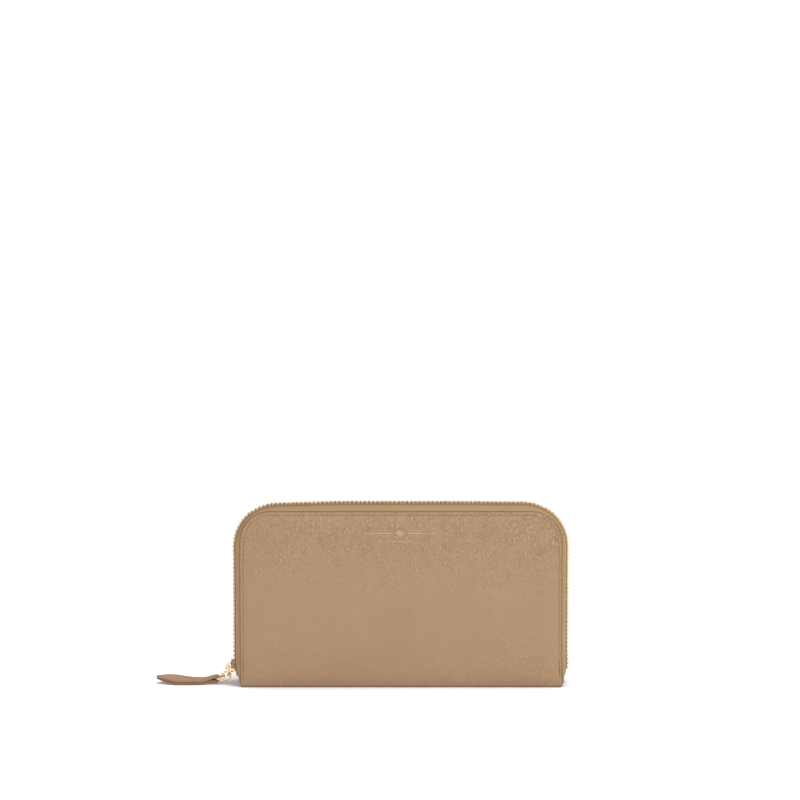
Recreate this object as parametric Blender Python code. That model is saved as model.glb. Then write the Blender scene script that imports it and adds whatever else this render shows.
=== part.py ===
"""Zip around wallet, standing closed on its spine, as separate pieces.

Frame: metres, +Z up, origin on the ground under the middle of the spine.
+X runs along the wallet's length, the front cover faces -Y.

The two covers are mirror images in the plane y = 0. Each one hinges on the
outer edge of the spine. The zip runs up the left side, over the top and down
the right side. A place on the zip is given by two numbers: "out" is how far it
stands out beyond the edge of the leather cover, and y is its depth.
"""

import math

import bmesh
import bpy
from mathutils import Vector

MM = 0.001

# ---------------------------------------------------------------- driving sizes
LENGTH = 190 * MM
HEIGHT = 105 * MM
DEPTH = 25 * MM
ZIP_CORNER_R = 26 * MM
ZIP_OUT = 4.6 * MM

GAP = 0.3 * MM
SKIN = 1.1 * MM
BOARD = 0.6 * MM
LINING = 0.4 * MM
FACING_THICK = 0.8 * MM
BOARD_INSET = 3.7 * MM
LINING_INSET = 1.2 * MM
CARD_LEATHER = 0.4 * MM
POCKET_LEATHER = 0.4 * MM

HINGE_Z = 3.0 * MM
SPINE_HALF_LENGTH = 89 * MM
SPINE_EDGE_R = 1.2 * MM

CARD_TIERS = 3
CARD_TOP = 76 * MM
CARD_STEP = 12 * MM
CARD_HALF_LENGTH = 84 * MM
CARD_CORNER_R = 2 * MM

COIN_HALF_GAP = 2.4 * MM
COIN_HALF_LENGTH = 84 * MM
COIN_TOP = 84 * MM
COIN_CORNER_R = 3 * MM

GUSSET_TOP = 72 * MM
GUSSET_FOLD = 9 * MM
GUSSET_REACH = 1.1 * MM
GUSSET_INSET = 1 * MM

TOOTH_THICK = 1.6 * MM
TOOTH_BEVEL = 0.15 * MM
TEETH_NEAR = 0.6 * MM
TEETH_FAR = 1.9 * MM
TAPE_THICK = 0.5 * MM
TEETH_START = 17 * MM
TEETH_END = 10 * MM
TAPE_START = 4 * MM
TAPE_END = 7 * MM
STOP_INSET = 0.2 * MM
STOP_HEIGHT = 1.6 * MM

SLIDER_LENGTH = 8 * MM
SLIDER_Z = 10.6 * MM
COIN_SLIDER_X = -70 * MM

WIRE_R = 0.55 * MM
LINK_LENGTH = 5.5 * MM
RING_R = 2.4 * MM
RING_PLAY = 0.15 * MM
TAB_RING_LENGTH = 6.0 * MM
TAB_THICK = 1.2 * MM
TAB_END_X = -138 * MM
TAB_TIP_RISE = 4.2 * MM

# ---------------------------------------------------------------- worked out from them
HALF_DEPTH = DEPTH / 2
EDGE_X = LENGTH / 2 - ZIP_OUT
EDGE_TOP = HEIGHT - ZIP_OUT
EDGE_R = ZIP_CORNER_R - ZIP_OUT
ARC_STEPS = 12

TOOTH_LOW = ZIP_OUT - TOOTH_THICK
TOOTH_MID = ZIP_OUT - TOOTH_THICK / 2
SLOT_LOW = TOOTH_LOW - GAP
SLOT_HIGH = ZIP_OUT + GAP


# ---------------------------------------------------------------- helpers
def clear_scene():
    for thing in list(bpy.data.objects):
        bpy.data.objects.remove(thing, do_unlink=True)


def make_material(name, colour, roughness, metallic=0.0):
    material = bpy.data.materials.new(name)
    material.use_nodes = True
    shader = material.node_tree.nodes["Principled BSDF"]
    shader.inputs["Base Color"].default_value = (*colour, 1.0)
    shader.inputs["Roughness"].default_value = roughness
    shader.inputs["Metallic"].default_value = metallic
    return material


LEATHER = ((0.43, 0.28, 0.17), 0.5)
EDGE_LEATHER = ((0.40, 0.25, 0.15), 0.55)
LINING_CLOTH = ((0.33, 0.22, 0.14), 0.8)
TAPE_CLOTH = ((0.30, 0.19, 0.11), 0.85)
BOARD_STOCK = ((0.45, 0.40, 0.33), 0.9)
GOLD = ((0.83, 0.62, 0.32), 0.22, 1.0)


def add_object(name, points, faces, finish, pivot=(0, 0, 0)):
    """One closed mesh as an object, with its origin on pivot."""
    mesh = bpy.data.meshes.new(name)
    origin = Vector(pivot)
    mesh.from_pydata([Vector(p) - origin for p in points], [], faces)
    work = bmesh.new()
    work.from_mesh(mesh)
    bmesh.ops.recalc_face_normals(work, faces=work.faces)
    work.to_mesh(mesh)
    work.free()
    piece = bpy.data.objects.new(name, mesh)
    piece.location = origin
    bpy.context.scene.collection.objects.link(piece)
    mesh.materials.append(make_material(name + "_finish", *finish))
    return piece


def sweep(name, sections, finish, closed=False, pivot=(0, 0, 0)):
    """A skin through sections with equally many points; closed joins last to first."""
    count = len(sections[0])
    points = [p for section in sections for p in section]
    faces = []
    spans = len(sections) if closed else len(sections) - 1
    for i in range(spans):
        here = i * count
        there = ((i + 1) % len(sections)) * count
        for j in range(count):
            k = (j + 1) % count
            faces.append((here + j, here + k, there + k, there + j))
    if not closed:
        last = (len(sections) - 1) * count
        faces.append(tuple(reversed(range(count))))
        faces.append(tuple(last + j for j in range(count)))
    return add_object(name, points, faces, finish, pivot)


def plate(name, outline, y_a, y_b, finish):
    """A flat sheet: an outline of (x, z) points, between two depths."""
    sections = [[(x, y, z) for x, z in outline] for y in (y_a, y_b)]
    return sweep(name, sections, finish)


def box_points(low, high):
    return [
        [(x, y, z) for x, y in ((low[0], low[1]), (high[0], low[1]), (high[0], high[1]), (low[0], high[1]))]
        for z in (low[2], high[2])
    ]


def block(name, low, high, finish, pivot=(0, 0, 0)):
    return sweep(name, box_points(low, high), finish, pivot=pivot)


def arc(cx, cz, radius, start, stop, steps):
    """Points on an arc in (x, z), angles in degrees from +X towards +Z."""
    turns = [math.radians(start + (stop - start) * i / steps) for i in range(steps + 1)]
    return [(cx + radius * math.cos(t), cz + radius * math.sin(t)) for t in turns]


def door_outline(half, low, top, radius, steps=ARC_STEPS):
    """A sheet's outline: square below, with two round corners above."""
    left = arc(-half + radius, top - radius, radius, 180, 90, steps)
    right = arc(half - radius, top - radius, radius, 90, 0, steps)
    return [(-half, low)] + left + right + [(half, low)]


def side_section(profile, x_sign, z):
    """The profile of (out, y) points at a height on the left (-1) or right (1) side."""
    return [(x_sign * (EDGE_X + out), y, z) for out, y in profile]


def corner_section(profile, x_sign, degrees):
    """The same profile at an angle of the left or right upper corner."""
    cx = x_sign * (EDGE_X - EDGE_R)
    cz = EDGE_TOP - EDGE_R
    turn = math.radians(degrees)
    return [
        (cx + (EDGE_R + out) * math.cos(turn), y, cz + (EDGE_R + out) * math.sin(turn))
        for out, y in profile
    ]


def zip_sweep(name, profile, z_left, z_right, finish):
    """A profile swept up the left side, over the top and down the right side."""
    sections = [side_section(profile, -1, z_left)]
    for i in range(ARC_STEPS + 1):
        sections.append(corner_section(profile, -1, 180 - 90 * i / ARC_STEPS))
    for i in range(ARC_STEPS + 1):
        sections.append(corner_section(profile, 1, 90 - 90 * i / ARC_STEPS))
    sections.append(side_section(profile, 1, z_right))
    return sweep(name, sections, finish)


def union(base, others):
    """Join solids that overlap the base into the base, and drop the originals."""
    for other in others:
        joint = base.modifiers.new("join", "BOOLEAN")
        joint.operation = "UNION"
        joint.object = other
        bpy.context.view_layer.update()
        view = bpy.context.evaluated_depsgraph_get()
        merged = bpy.data.meshes.new_from_object(base.evaluated_get(view))
        base.modifiers.clear()
        base.data = merged
        bpy.data.objects.remove(other, do_unlink=True)
    return base


def wire_loop(name, path, radius, finish, pivot, sides=8):
    """Round wire along a closed path of points that lies in one plane."""
    points = [Vector(p) for p in path]
    normal = Vector((0, 0, 0))
    for i, p in enumerate(points):
        normal += p.cross(points[(i + 1) % len(points)])
    normal.normalize()
    sections = []
    for i, p in enumerate(points):
        along = points[(i + 1) % len(points)] - points[i - 1]
        side = along.cross(normal).normalized()
        ring = []
        for k in range(sides):
            turn = 2 * math.pi * k / sides
            ring.append(p + radius * (math.cos(turn) * side + math.sin(turn) * normal))
        sections.append(ring)
    return sweep(name, sections, finish, closed=True, pivot=pivot)


def squared_loop(start, end, half_width, corner, across, steps=3):
    """A loop with straight bars at start and end and round corners between."""
    start = Vector(start)
    end = Vector(end)
    along = (end - start).normalized()
    across = Vector(across)
    reach = (end - start).length / 2
    middle = (start + end) / 2
    path = []
    for a_sign, w_sign, first in ((1, -1, -90), (1, 1, 0), (-1, 1, 90), (-1, -1, 180)):
        for i in range(steps + 1):
            turn = math.radians(first + 90 * i / steps)
            a = a_sign * (reach - corner) + corner * math.cos(turn)
            w = w_sign * (half_width - corner) + corner * math.sin(turn)
            path.append(middle + a * along + w * across)
    return path


# ---------------------------------------------------------------- spine
def make_spine():
    """The skin under the wallet, with its board and its lining."""
    outer = arc(-HALF_DEPTH + SPINE_EDGE_R, SPINE_EDGE_R, SPINE_EDGE_R, 180, 270, 4)
    outer += [(-y, z) for y, z in reversed(outer)]
    outer = [(-HALF_DEPTH, HINGE_Z)] + outer + [(HALF_DEPTH, HINGE_Z)]
    inner_y = HALF_DEPTH - SKIN
    inner = [(inner_y, HINGE_Z), (inner_y, SKIN), (-inner_y, SKIN), (-inner_y, HINGE_Z)]
    profile = outer + inner
    sections = [[(x, y, z) for y, z in profile] for x in (-SPINE_HALF_LENGTH, SPINE_HALF_LENGTH)]
    sweep("spine_leather", sections, LEATHER)

    board_low = SKIN + GAP
    board_high = board_low + BOARD
    half_x = SPINE_HALF_LENGTH - 2 * MM
    half_y = inner_y - GAP
    block("spine_board", (-half_x, -half_y, board_low), (half_x, half_y, board_high), BOARD_STOCK)
    low = board_high + GAP
    block("spine_lining", (-half_x, -half_y, low), (half_x, half_y, low + LINING), LINING_CLOTH)
    return low + LINING + GAP


# ---------------------------------------------------------------- covers
def make_cover(side, name):
    """Skin, board, lining and card pockets of one cover; side is -1 for the front."""
    low = HINGE_Z + GAP
    outer = HALF_DEPTH
    skin_in = outer - SKIN
    board_out = skin_in - GAP
    plate(name + "_leather", door_outline(EDGE_X, low, EDGE_TOP, EDGE_R), side * outer, side * skin_in, LEATHER)

    plate(
        name + "_board",
        door_outline(EDGE_X - BOARD_INSET, low + GAP, EDGE_TOP - BOARD_INSET, EDGE_R - BOARD_INSET),
        side * board_out,
        side * (board_out - BOARD),
        BOARD_STOCK,
    )
    lining_out = board_out - FACING_THICK - GAP
    lining_in = lining_out - LINING
    plate(
        name + "_lining",
        door_outline(EDGE_X - LINING_INSET, low + GAP, EDGE_TOP - LINING_INSET, EDGE_R - LINING_INSET),
        side * lining_out,
        side * lining_in,
        LINING_CLOTH,
    )
    face = lining_in
    for tier in range(CARD_TIERS):
        face -= GAP
        top = CARD_TOP - tier * CARD_STEP
        plate(
            name + "_card_pocket_" + str(tier + 1),
            door_outline(CARD_HALF_LENGTH, low + GAP, top, CARD_CORNER_R, 3),
            side * face,
            side * (face - CARD_LEATHER),
            LEATHER,
        )
        face -= CARD_LEATHER


def make_cover_zip(side, name):
    """The rolled leather facing, the woven tape and the row of teeth of one cover."""
    facing_mm = (
        (-3.4, 11.1), (0.0, 11.1), (0.9, 10.4), (1.7, 9.0), (2.3, 7.2), (2.6, 5.2),
        (1.8, 5.2), (1.5, 7.0), (0.9, 8.5), (0.2, 9.7), (-0.5, 10.3), (-3.4, 10.3),
    )
    facing = [(out * MM, side * y * MM) for out, y in facing_mm]
    zip_sweep(name + "_zip_facing", facing, HINGE_Z + GAP, HINGE_Z + GAP, EDGE_LEATHER)

    high = TOOTH_MID + TAPE_THICK / 2
    low = TOOTH_MID - TAPE_THICK / 2
    edge = TEETH_FAR + GAP
    tape = [
        (high, edge), (high, 3.6 * MM), (1.5 * MM, 5.1 * MM), (1.2 * MM, 6.9 * MM), (0.6 * MM, 8.2 * MM),
        (0.2 * MM, 7.9 * MM), (0.7 * MM, 6.7 * MM), (1.0 * MM, 4.9 * MM), (low, 3.3 * MM), (low, edge),
    ]
    tape = [(out, side * y) for out, y in tape]
    zip_sweep(name + "_zip_tape", tape, TAPE_START, TAPE_END, TAPE_CLOTH)

    near_bevel = TOOTH_BEVEL
    far_bevel = 3 * TOOTH_BEVEL
    teeth = [
        (TOOTH_LOW, TEETH_NEAR), (ZIP_OUT - near_bevel, TEETH_NEAR), (ZIP_OUT, TEETH_NEAR + near_bevel),
        (ZIP_OUT, TEETH_FAR - far_bevel), (ZIP_OUT - far_bevel, TEETH_FAR), (TOOTH_LOW, TEETH_FAR),
    ]
    teeth = [(out, side * y) for out, y in teeth]
    zip_sweep(name + "_zip_teeth", teeth, TEETH_START, TEETH_END, GOLD)


def make_zip_stops():
    """The metal stop at the left end of each tape, just below the parked slider."""
    low = TAPE_START + STOP_INSET
    for side, name in ((-1, "front"), (1, "back")):
        y_a, y_b = sorted((side * TEETH_NEAR, side * TEETH_FAR))
        block(
            name + "_zip_stop",
            (-(EDGE_X + ZIP_OUT - STOP_INSET), y_a, low),
            (-(EDGE_X + TOOTH_LOW + STOP_INSET), y_b, low + STOP_HEIGHT),
            GOLD,
        )


# ---------------------------------------------------------------- zip slider and pull
def make_slider(name, centre, run, out, across, size, pivot):
    """Two plates held apart by a thin web, with a bridge on the outer plate.

    run points along the zip, out points away from the wallet and size gives the
    half length, half widths of the outer and inner plate, the slot's two faces
    measured from centre along out, and the bridge's reach.
    """
    centre = Vector(centre)
    run = Vector(run)
    out = Vector(out)
    across = Vector(across)

    def solid(label, outline, half):
        """An outline of (along, out) points given a width across the zip."""
        sections = []
        for w in (-half, half):
            sections.append([centre + a * run + o * out + w * across for a, o in outline])
        return sweep(label, sections, GOLD, pivot=pivot)

    half = size["half_length"]
    thick = size["plate"]
    low = size["slot_low"]
    high = size["slot_high"]
    nose = 0.25 * half
    top = [
        (-half, high), (half, high), (half, high + 0.5 * thick),
        (half - nose, high + thick), (-half + nose, high + thick), (-half, high + 0.5 * thick),
    ]
    base = solid(name, top, size["half_top"])
    bottom = [
        (-half, low), (-half, low - 0.5 * thick), (-half + nose, low - thick),
        (half - nose, low - thick), (half, low - 0.5 * thick), (half, low),
    ]
    lower = solid("lower", bottom, size["half_bottom"])
    sink = 0.3 * MM
    web = solid("web", [(-0.3 * half, low - sink), (0.7 * half, low - sink),
                        (0.7 * half, high + sink), (-0.3 * half, high + sink)], size["half_web"])
    face = high + thick
    reach = face + size["bridge"]
    foot = size["bridge_foot"]
    hole = size["bridge_hole"]
    wall = size["bridge_wall"]
    span = hole + wall
    arch = [
        (-span, face - sink), (-span, face + foot), (-span + wall, reach), (span - wall, reach),
        (span, face + foot), (span, face - sink), (hole, face - sink), (hole, face + foot - 0.2 * wall),
        (hole - 0.5 * wall, reach - wall), (-hole + 0.5 * wall, reach - wall),
        (-hole, face + foot - 0.2 * wall), (-hole, face - sink),
    ]
    bridge = solid("bridge", arch, size["half_bridge"])
    return union(base, (web, lower, bridge))


def make_zip_slider():
    size = {
        "half_length": SLIDER_LENGTH / 2, "half_top": 3.9 * MM, "half_bottom": 3.0 * MM, "plate": 1.1 * MM,
        "slot_low": SLOT_LOW, "slot_high": SLOT_HIGH, "half_web": 0.3 * MM, "bridge": 3.0 * MM,
        "bridge_foot": 1.9 * MM, "bridge_hole": 1.6 * MM, "bridge_wall": 0.9 * MM, "half_bridge": 1.0 * MM,
    }
    centre = (-EDGE_X, 0, SLIDER_Z)
    make_slider("zip_slider", centre, (0, 0, 1), (-1, 0, 0), (0, 1, 0), size, centre)
    return EDGE_X + SLOT_HIGH + size["plate"]


def make_pull(plate_face):
    """The link on the bridge, the round ring, the tab's own ring and the leather tab."""
    link_x = -(plate_face + WIRE_R + 0.55 * MM)
    link_top = Vector((link_x, 0, SLIDER_Z - 0.5 * MM))
    lean = math.radians(4)
    link_end = link_top + LINK_LENGTH * Vector((-math.sin(lean), 0, -math.cos(lean)))
    half = 2.05 * MM
    path = squared_loop(link_top, link_end, half, 0.9 * MM, (0, 1, 0))
    wire_loop("pull_link", path, WIRE_R, GOLD, link_top)

    reach = RING_R - 2 * WIRE_R - RING_PLAY
    dip = math.radians(14)
    slope = Vector((-math.cos(dip), 0, -math.sin(dip)))
    ring_centre = link_end + reach * slope
    path = []
    ring_steps = 20
    for i in range(ring_steps):
        turn = 2 * math.pi * i / ring_steps
        path.append(ring_centre + RING_R * Vector((math.cos(turn), 0, math.sin(turn))))
    wire_loop("pull_ring", path, WIRE_R, GOLD, link_end)

    bar = ring_centre + reach * slope
    tab_dip = math.radians(5)
    slope = Vector((-math.cos(tab_dip), 0, -math.sin(tab_dip)))
    bar_end = bar + TAB_RING_LENGTH * slope
    path = squared_loop(bar, bar_end, 3.6 * MM, 1.1 * MM, (0, 1, 0))
    wire_loop("tab_ring", path, WIRE_R, GOLD, bar)
    make_tab(bar_end, bar)
    return link_top, link_end, bar


def tab_floor(share):
    """Height of the tab's underside from the fold (0) to the tip (1)."""
    fold_rise = 1.2 * MM * max(0.0, 1 - share / 0.18) ** 2
    tip_rise = TAB_TIP_RISE * max(0.0, (share - 0.45) / 0.55) ** 2
    return fold_rise + tip_rise


def tab_half_width(share):
    """The tab is narrow at its ring, widest past the middle and rounded at its tip."""
    body = 2.7 * MM + 3.1 * MM * math.sin(0.5 * math.pi * min(1.0, share / 0.45))
    tip = max(0.0, (share - 0.72) / 0.28)
    return body * math.sqrt(max(0.05, 1 - 0.92 * tip ** 2))


def make_tab(fold, pivot):
    """One strip of leather folded over the tab ring, its two ends sewn together."""
    loop_r = WIRE_R + GAP + TAB_THICK / 2
    steps = 14
    split = TAB_THICK / 2 + GAP / 2
    lower = []
    upper = []
    run = fold.x - TAB_END_X
    for i in range(steps + 1):
        share = i / steps
        x = fold.x - run * share
        closing = min(1.0, (fold.x - x) / (5 * MM))
        spread = loop_r + (split - loop_r) * (3 * closing ** 2 - 2 * closing ** 3)
        base = tab_floor(share) + TAB_THICK / 2
        middle = base + split
        middle += (fold.z - middle) * (1 - min(1.0, (fold.x - x) / (9 * MM))) ** 2
        low_z = max(middle - spread, TAB_THICK / 2)
        lower.append((x, low_z, share))
        upper.append((x, middle + spread, share))
    bend = []
    bend_steps = 8
    for i in range(1, bend_steps):
        turn = math.radians(-90 + 180 * i / bend_steps)
        bend.append((fold.x + loop_r * math.cos(turn), fold.z + loop_r * math.sin(turn), 0.0))
    line = list(reversed(lower)) + bend + upper
    sections = []
    for i, (x, z, share) in enumerate(line):
        ahead = line[min(i + 1, len(line) - 1)]
        behind = line[max(i - 1, 0)]
        along = Vector((ahead[0] - behind[0], 0, ahead[1] - behind[1])).normalized()
        off = Vector((-along.z, 0, along.x)) * (TAB_THICK / 2)
        middle = Vector((x, 0, z))
        width = Vector((0, tab_half_width(share), 0))
        sections.append([middle - off - width, middle - off + width, middle + off + width, middle + off - width])
    sweep("tab_leather", sections, LEATHER, pivot=pivot)


# ---------------------------------------------------------------- coin pocket
def make_coin_pocket(floor_z):
    """The zipped pocket that stands on the spine between the two covers."""
    for side, name in ((-1, "front"), (1, "back")):
        plate(
            "coin_" + name + "_wall",
            door_outline(COIN_HALF_LENGTH, floor_z, COIN_TOP, COIN_CORNER_R, 4),
            side * (COIN_HALF_GAP + POCKET_LEATHER),
            side * COIN_HALF_GAP,
            LEATHER,
        )
    half_x = COIN_HALF_LENGTH - 2 * MM
    half_y = COIN_HALF_GAP - GAP
    block("coin_base_strip", (-half_x, -half_y, floor_z), (half_x, half_y, floor_z + 1 * MM), LEATHER)

    low = COIN_TOP + GAP
    half_x = COIN_HALF_LENGTH - COIN_CORNER_R
    teeth_in = 0.5 * MM
    teeth_out = 1.4 * MM
    for side, name in ((-1, "front"), (1, "back")):
        y_a, y_b = sorted((side * (teeth_out + GAP), side * (COIN_HALF_GAP + POCKET_LEATHER)))
        block("coin_" + name + "_tape", (-half_x, y_a, low), (half_x, y_b, low + TAPE_THICK), TAPE_CLOTH)
        y_a, y_b = sorted((side * teeth_in, side * teeth_out))
        block(
            "coin_" + name + "_teeth",
            (-half_x, y_a, low + TAPE_THICK / 2 - 0.6 * MM),
            (half_x, y_b, low + TAPE_THICK / 2 + 0.6 * MM),
            GOLD,
        )
    return low + TAPE_THICK / 2


def make_coin_slider(zip_z):
    """The coin zip's slider and its flat leather pull, which lies along the zip."""
    size = {
        "half_length": 3.5 * MM, "half_top": 2.4 * MM, "half_bottom": 2.0 * MM, "plate": 0.7 * MM,
        "slot_low": -0.9 * MM, "slot_high": 0.9 * MM, "half_web": 0.2 * MM, "bridge": 2.2 * MM,
        "bridge_foot": 1.3 * MM, "bridge_hole": 1.2 * MM, "bridge_wall": 0.6 * MM, "half_bridge": 0.7 * MM,
    }
    centre = (COIN_SLIDER_X, 0, zip_z)
    make_slider("coin_slider", centre, (1, 0, 0), (0, 0, 1), (0, 1, 0), size, centre)
    wire = 0.4 * MM
    start = Vector((COIN_SLIDER_X, 0, zip_z + size["slot_high"] + size["plate"] + wire + 0.35 * MM))
    lift = math.radians(3)
    end = start + 13 * MM * Vector((math.cos(lift), 0, math.sin(lift)))
    path = squared_loop(start, end, 1.6 * MM, 0.7 * MM, (0, 1, 0))
    wire_loop("coin_pull", path, wire, GOLD, start)
    return start


# ---------------------------------------------------------------- side gussets
def make_gussets(floor_z):
    """Four folded strips that join the coin pocket to the covers at each end."""
    half = POCKET_LEATHER / 2
    start_y = COIN_HALF_GAP + POCKET_LEATHER + GAP + half
    layers = SKIN + FACING_THICK + LINING + CARD_TIERS * (CARD_LEATHER + GAP) + 2 * GAP
    end_y = HALF_DEPTH - layers - GAP - half
    for side, name in ((-1, "front"), (1, "back")):
        for end, end_name in ((-1, "left"), (1, "right")):
            outer_x = COIN_HALF_LENGTH - GUSSET_INSET
            fold_x = outer_x - GUSSET_FOLD
            fold_y = (start_y + end_y) / 2
            outline = [
                (outer_x, start_y - half), (fold_x - GUSSET_REACH, fold_y), (outer_x, end_y + half),
                (outer_x, end_y - half), (fold_x + GUSSET_REACH, fold_y), (outer_x, start_y + half),
            ]
            sections = []
            for z in (floor_z + GUSSET_INSET, GUSSET_TOP):
                sections.append([(end * x, side * y, z) for x, y in outline])
            sweep("gusset_" + name + "_" + end_name, sections, LEATHER)


def build():
    clear_scene()
    inner_floor = make_spine()
    for side, name in ((-1, "front"), (1, "back")):
        make_cover(side, name)
        make_cover_zip(side, name)
    make_zip_stops()
    plate_face = make_zip_slider()
    link_top, link_end, bar = make_pull(plate_face)
    zip_z = make_coin_pocket(inner_floor)
    coin_hinge = make_coin_slider(zip_z)
    make_gussets(inner_floor)
    for label, place in (("link", link_top), ("ring", link_end), ("tab", bar), ("coin pull", coin_hinge)):
        print(label, "hinge at", [round(v, 6) for v in place])


build()
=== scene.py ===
# %% [markdown]
# # A zip around wallet
# The wallet stands closed on its spine. The fixed frame gives every size and every place,
# so the first step is to load it and to read the few measures that everything else hangs on.
# A place on the zip is told by two numbers: how far it stands out beyond the edge of the
# leather cover ("out"), and its depth y. The front cover faces -Y.

import math

import bmesh
import bpy
import numpy as np
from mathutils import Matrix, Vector, noise


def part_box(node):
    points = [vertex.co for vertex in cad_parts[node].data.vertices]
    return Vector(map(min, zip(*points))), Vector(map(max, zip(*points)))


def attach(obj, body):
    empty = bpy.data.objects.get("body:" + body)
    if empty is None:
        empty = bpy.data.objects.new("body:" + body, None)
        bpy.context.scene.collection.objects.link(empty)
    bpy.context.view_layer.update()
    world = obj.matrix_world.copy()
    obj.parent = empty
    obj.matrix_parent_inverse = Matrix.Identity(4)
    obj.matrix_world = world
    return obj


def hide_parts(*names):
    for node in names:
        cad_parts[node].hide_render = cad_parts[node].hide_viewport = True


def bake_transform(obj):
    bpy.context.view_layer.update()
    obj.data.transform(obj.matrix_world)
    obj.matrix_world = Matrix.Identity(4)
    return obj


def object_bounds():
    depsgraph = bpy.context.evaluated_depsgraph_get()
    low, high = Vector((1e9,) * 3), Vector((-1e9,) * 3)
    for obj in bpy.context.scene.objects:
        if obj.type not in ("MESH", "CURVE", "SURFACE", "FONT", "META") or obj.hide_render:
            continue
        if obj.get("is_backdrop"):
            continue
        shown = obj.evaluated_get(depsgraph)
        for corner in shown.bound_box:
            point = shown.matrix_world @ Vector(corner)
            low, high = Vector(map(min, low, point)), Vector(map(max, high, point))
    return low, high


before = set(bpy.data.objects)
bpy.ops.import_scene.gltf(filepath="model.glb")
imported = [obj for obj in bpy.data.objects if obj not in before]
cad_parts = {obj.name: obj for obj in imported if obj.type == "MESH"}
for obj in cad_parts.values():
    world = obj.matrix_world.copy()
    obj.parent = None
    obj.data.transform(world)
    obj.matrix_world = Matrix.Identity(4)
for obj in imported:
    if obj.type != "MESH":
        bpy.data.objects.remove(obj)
cad_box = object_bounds()

MM = 0.001
leather_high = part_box("front_leather")[1]
teeth_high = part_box("front_zip_teeth")[1]
back_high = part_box("back_leather")[1]

EDGE_X = leather_high.x
EDGE_TOP = leather_high.z
FACE_Y = back_high.y
ZIP_OUT = teeth_high.x - EDGE_X
ZIP_R = 26 * MM
PANEL_R = 17 * MM
CORNER_Z = EDGE_TOP + ZIP_OUT - ZIP_R
CORNER_X = EDGE_X + ZIP_OUT - ZIP_R
print("cover edge", EDGE_X, EDGE_TOP, "zip stands out", ZIP_OUT, "half depth", FACE_Y)

# %% [markdown]
# ## Helpers for meshes
# Every piece is a mesh with its place in its points. A skin laid through rows of points gives
# straps, tapes and rolled edges. Smooth shading, with creases only at sharp angles, keeps the
# light soft on leather and crisp on metal.

# %% Mesh helpers
def make_piece(name, points, faces, material, smooth_deg=50):
    mesh = bpy.data.meshes.new(name)
    mesh.from_pydata([tuple(p) for p in points], [], faces)
    work = bmesh.new()
    work.from_mesh(mesh)
    bmesh.ops.recalc_face_normals(work, faces=work.faces)
    work.to_mesh(mesh)
    work.free()
    mesh.materials.append(material)
    mesh.shade_smooth()
    mesh.set_sharp_from_angle(angle=math.radians(smooth_deg))
    piece = bpy.data.objects.new(name, mesh)
    bpy.context.scene.collection.objects.link(piece)
    return piece


def loft(rows, closed_rows=False, cap=True):
    """Points and faces of a skin through rows; each row is a closed ring of points."""
    count = len(rows[0])
    points = [p for row in rows for p in row]
    faces = []
    spans = len(rows) if closed_rows else len(rows) - 1
    for i in range(spans):
        a = i * count
        b = ((i + 1) % len(rows)) * count
        for j in range(count):
            k = (j + 1) % count
            faces.append((a + j, a + k, b + k, b + j))
    if cap and not closed_rows:
        last = (len(rows) - 1) * count
        faces.append(tuple(reversed(range(count))))
        faces.append(tuple(last + j for j in range(count)))
    return points, faces


def subdivide(piece, levels=1):
    """Round a piece off with a subdivision surface, and keep the result as its mesh."""
    step = piece.modifiers.new("round", "SUBSURF")
    step.levels = levels
    step.render_levels = levels
    settle(piece)


def settle(piece):
    """Turn what the modifiers make into the piece's own mesh."""
    bpy.context.view_layer.update()
    view = bpy.context.evaluated_depsgraph_get()
    mesh = bpy.data.meshes.new_from_object(piece.evaluated_get(view))
    piece.modifiers.clear()
    piece.data = mesh


def smooth_line(points, steps):
    """A Catmull-Rom curve through points, with steps between each pair."""
    pts = [np.array(p, float) for p in points]
    pts = [2 * pts[0] - pts[1]] + pts + [2 * pts[-1] - pts[-2]]
    line = []
    for i in range(1, len(pts) - 2):
        a, b, c, d = pts[i - 1:i + 3]
        for k in range(steps):
            t = k / steps
            line.append(0.5 * (2 * b + (c - a) * t + (2 * a - 5 * b + 4 * c - d) * t ** 2
                               + (3 * b - a - 3 * c + d) * t ** 3))
    line.append(pts[-2])
    return line


def ease(low, high, value):
    """0 below low, 1 above high, and a smooth step between."""
    t = min(1.0, max(0.0, (value - low) / (high - low)))
    return t * t * (3 - 2 * t)

# %% [markdown]
# ## Camera, floor and light
# The wallet is seen from the front and a little from above, through a long lens, the way a shop
# shows its goods. The camera aims over the wallet, which then sits in the lower half of the frame.
# A white floor and a bright, even sky give the soft light. Three large lamps, above, right and
# left, shape the gold and the rolled edges. The floor's paper glows faintly, and close under the
# leather its colour and glow are darkened: a painted shade, laid where little of the sky reaches it.

# %% Make the camera, the floor and the lamps
CAMERA_DISTANCE = 2.0
CAMERA_RISE_DEG = 10.0
FRAME_WIDTH = 0.4522
AIM_ABOVE = 0.1108

scene = bpy.context.scene
scene.view_settings.view_transform = "Standard"
rise = math.radians(CAMERA_RISE_DEG)
wallet_middle = Vector((0, -FACE_Y, (EDGE_TOP + ZIP_OUT) / 2))
to_camera = Vector((0, -math.cos(rise), math.sin(rise)))
camera_place = wallet_middle + CAMERA_DISTANCE * to_camera
up_in_view = Vector((0, math.sin(rise), math.cos(rise)))
aim = wallet_middle + AIM_ABOVE * up_in_view

camera_data = bpy.data.cameras.new("camera")
camera_data.sensor_width = 36.0
camera_data.lens = 36.0 * CAMERA_DISTANCE / FRAME_WIDTH
camera_data.clip_start = 0.01
camera_data.clip_end = 20.0
camera = bpy.data.objects.new("camera", camera_data)
scene.collection.objects.link(camera)
camera.location = camera_place
camera.rotation_euler = (aim - camera_place).to_track_quat("-Z", "Y").to_euler()
scene.camera = camera


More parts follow.
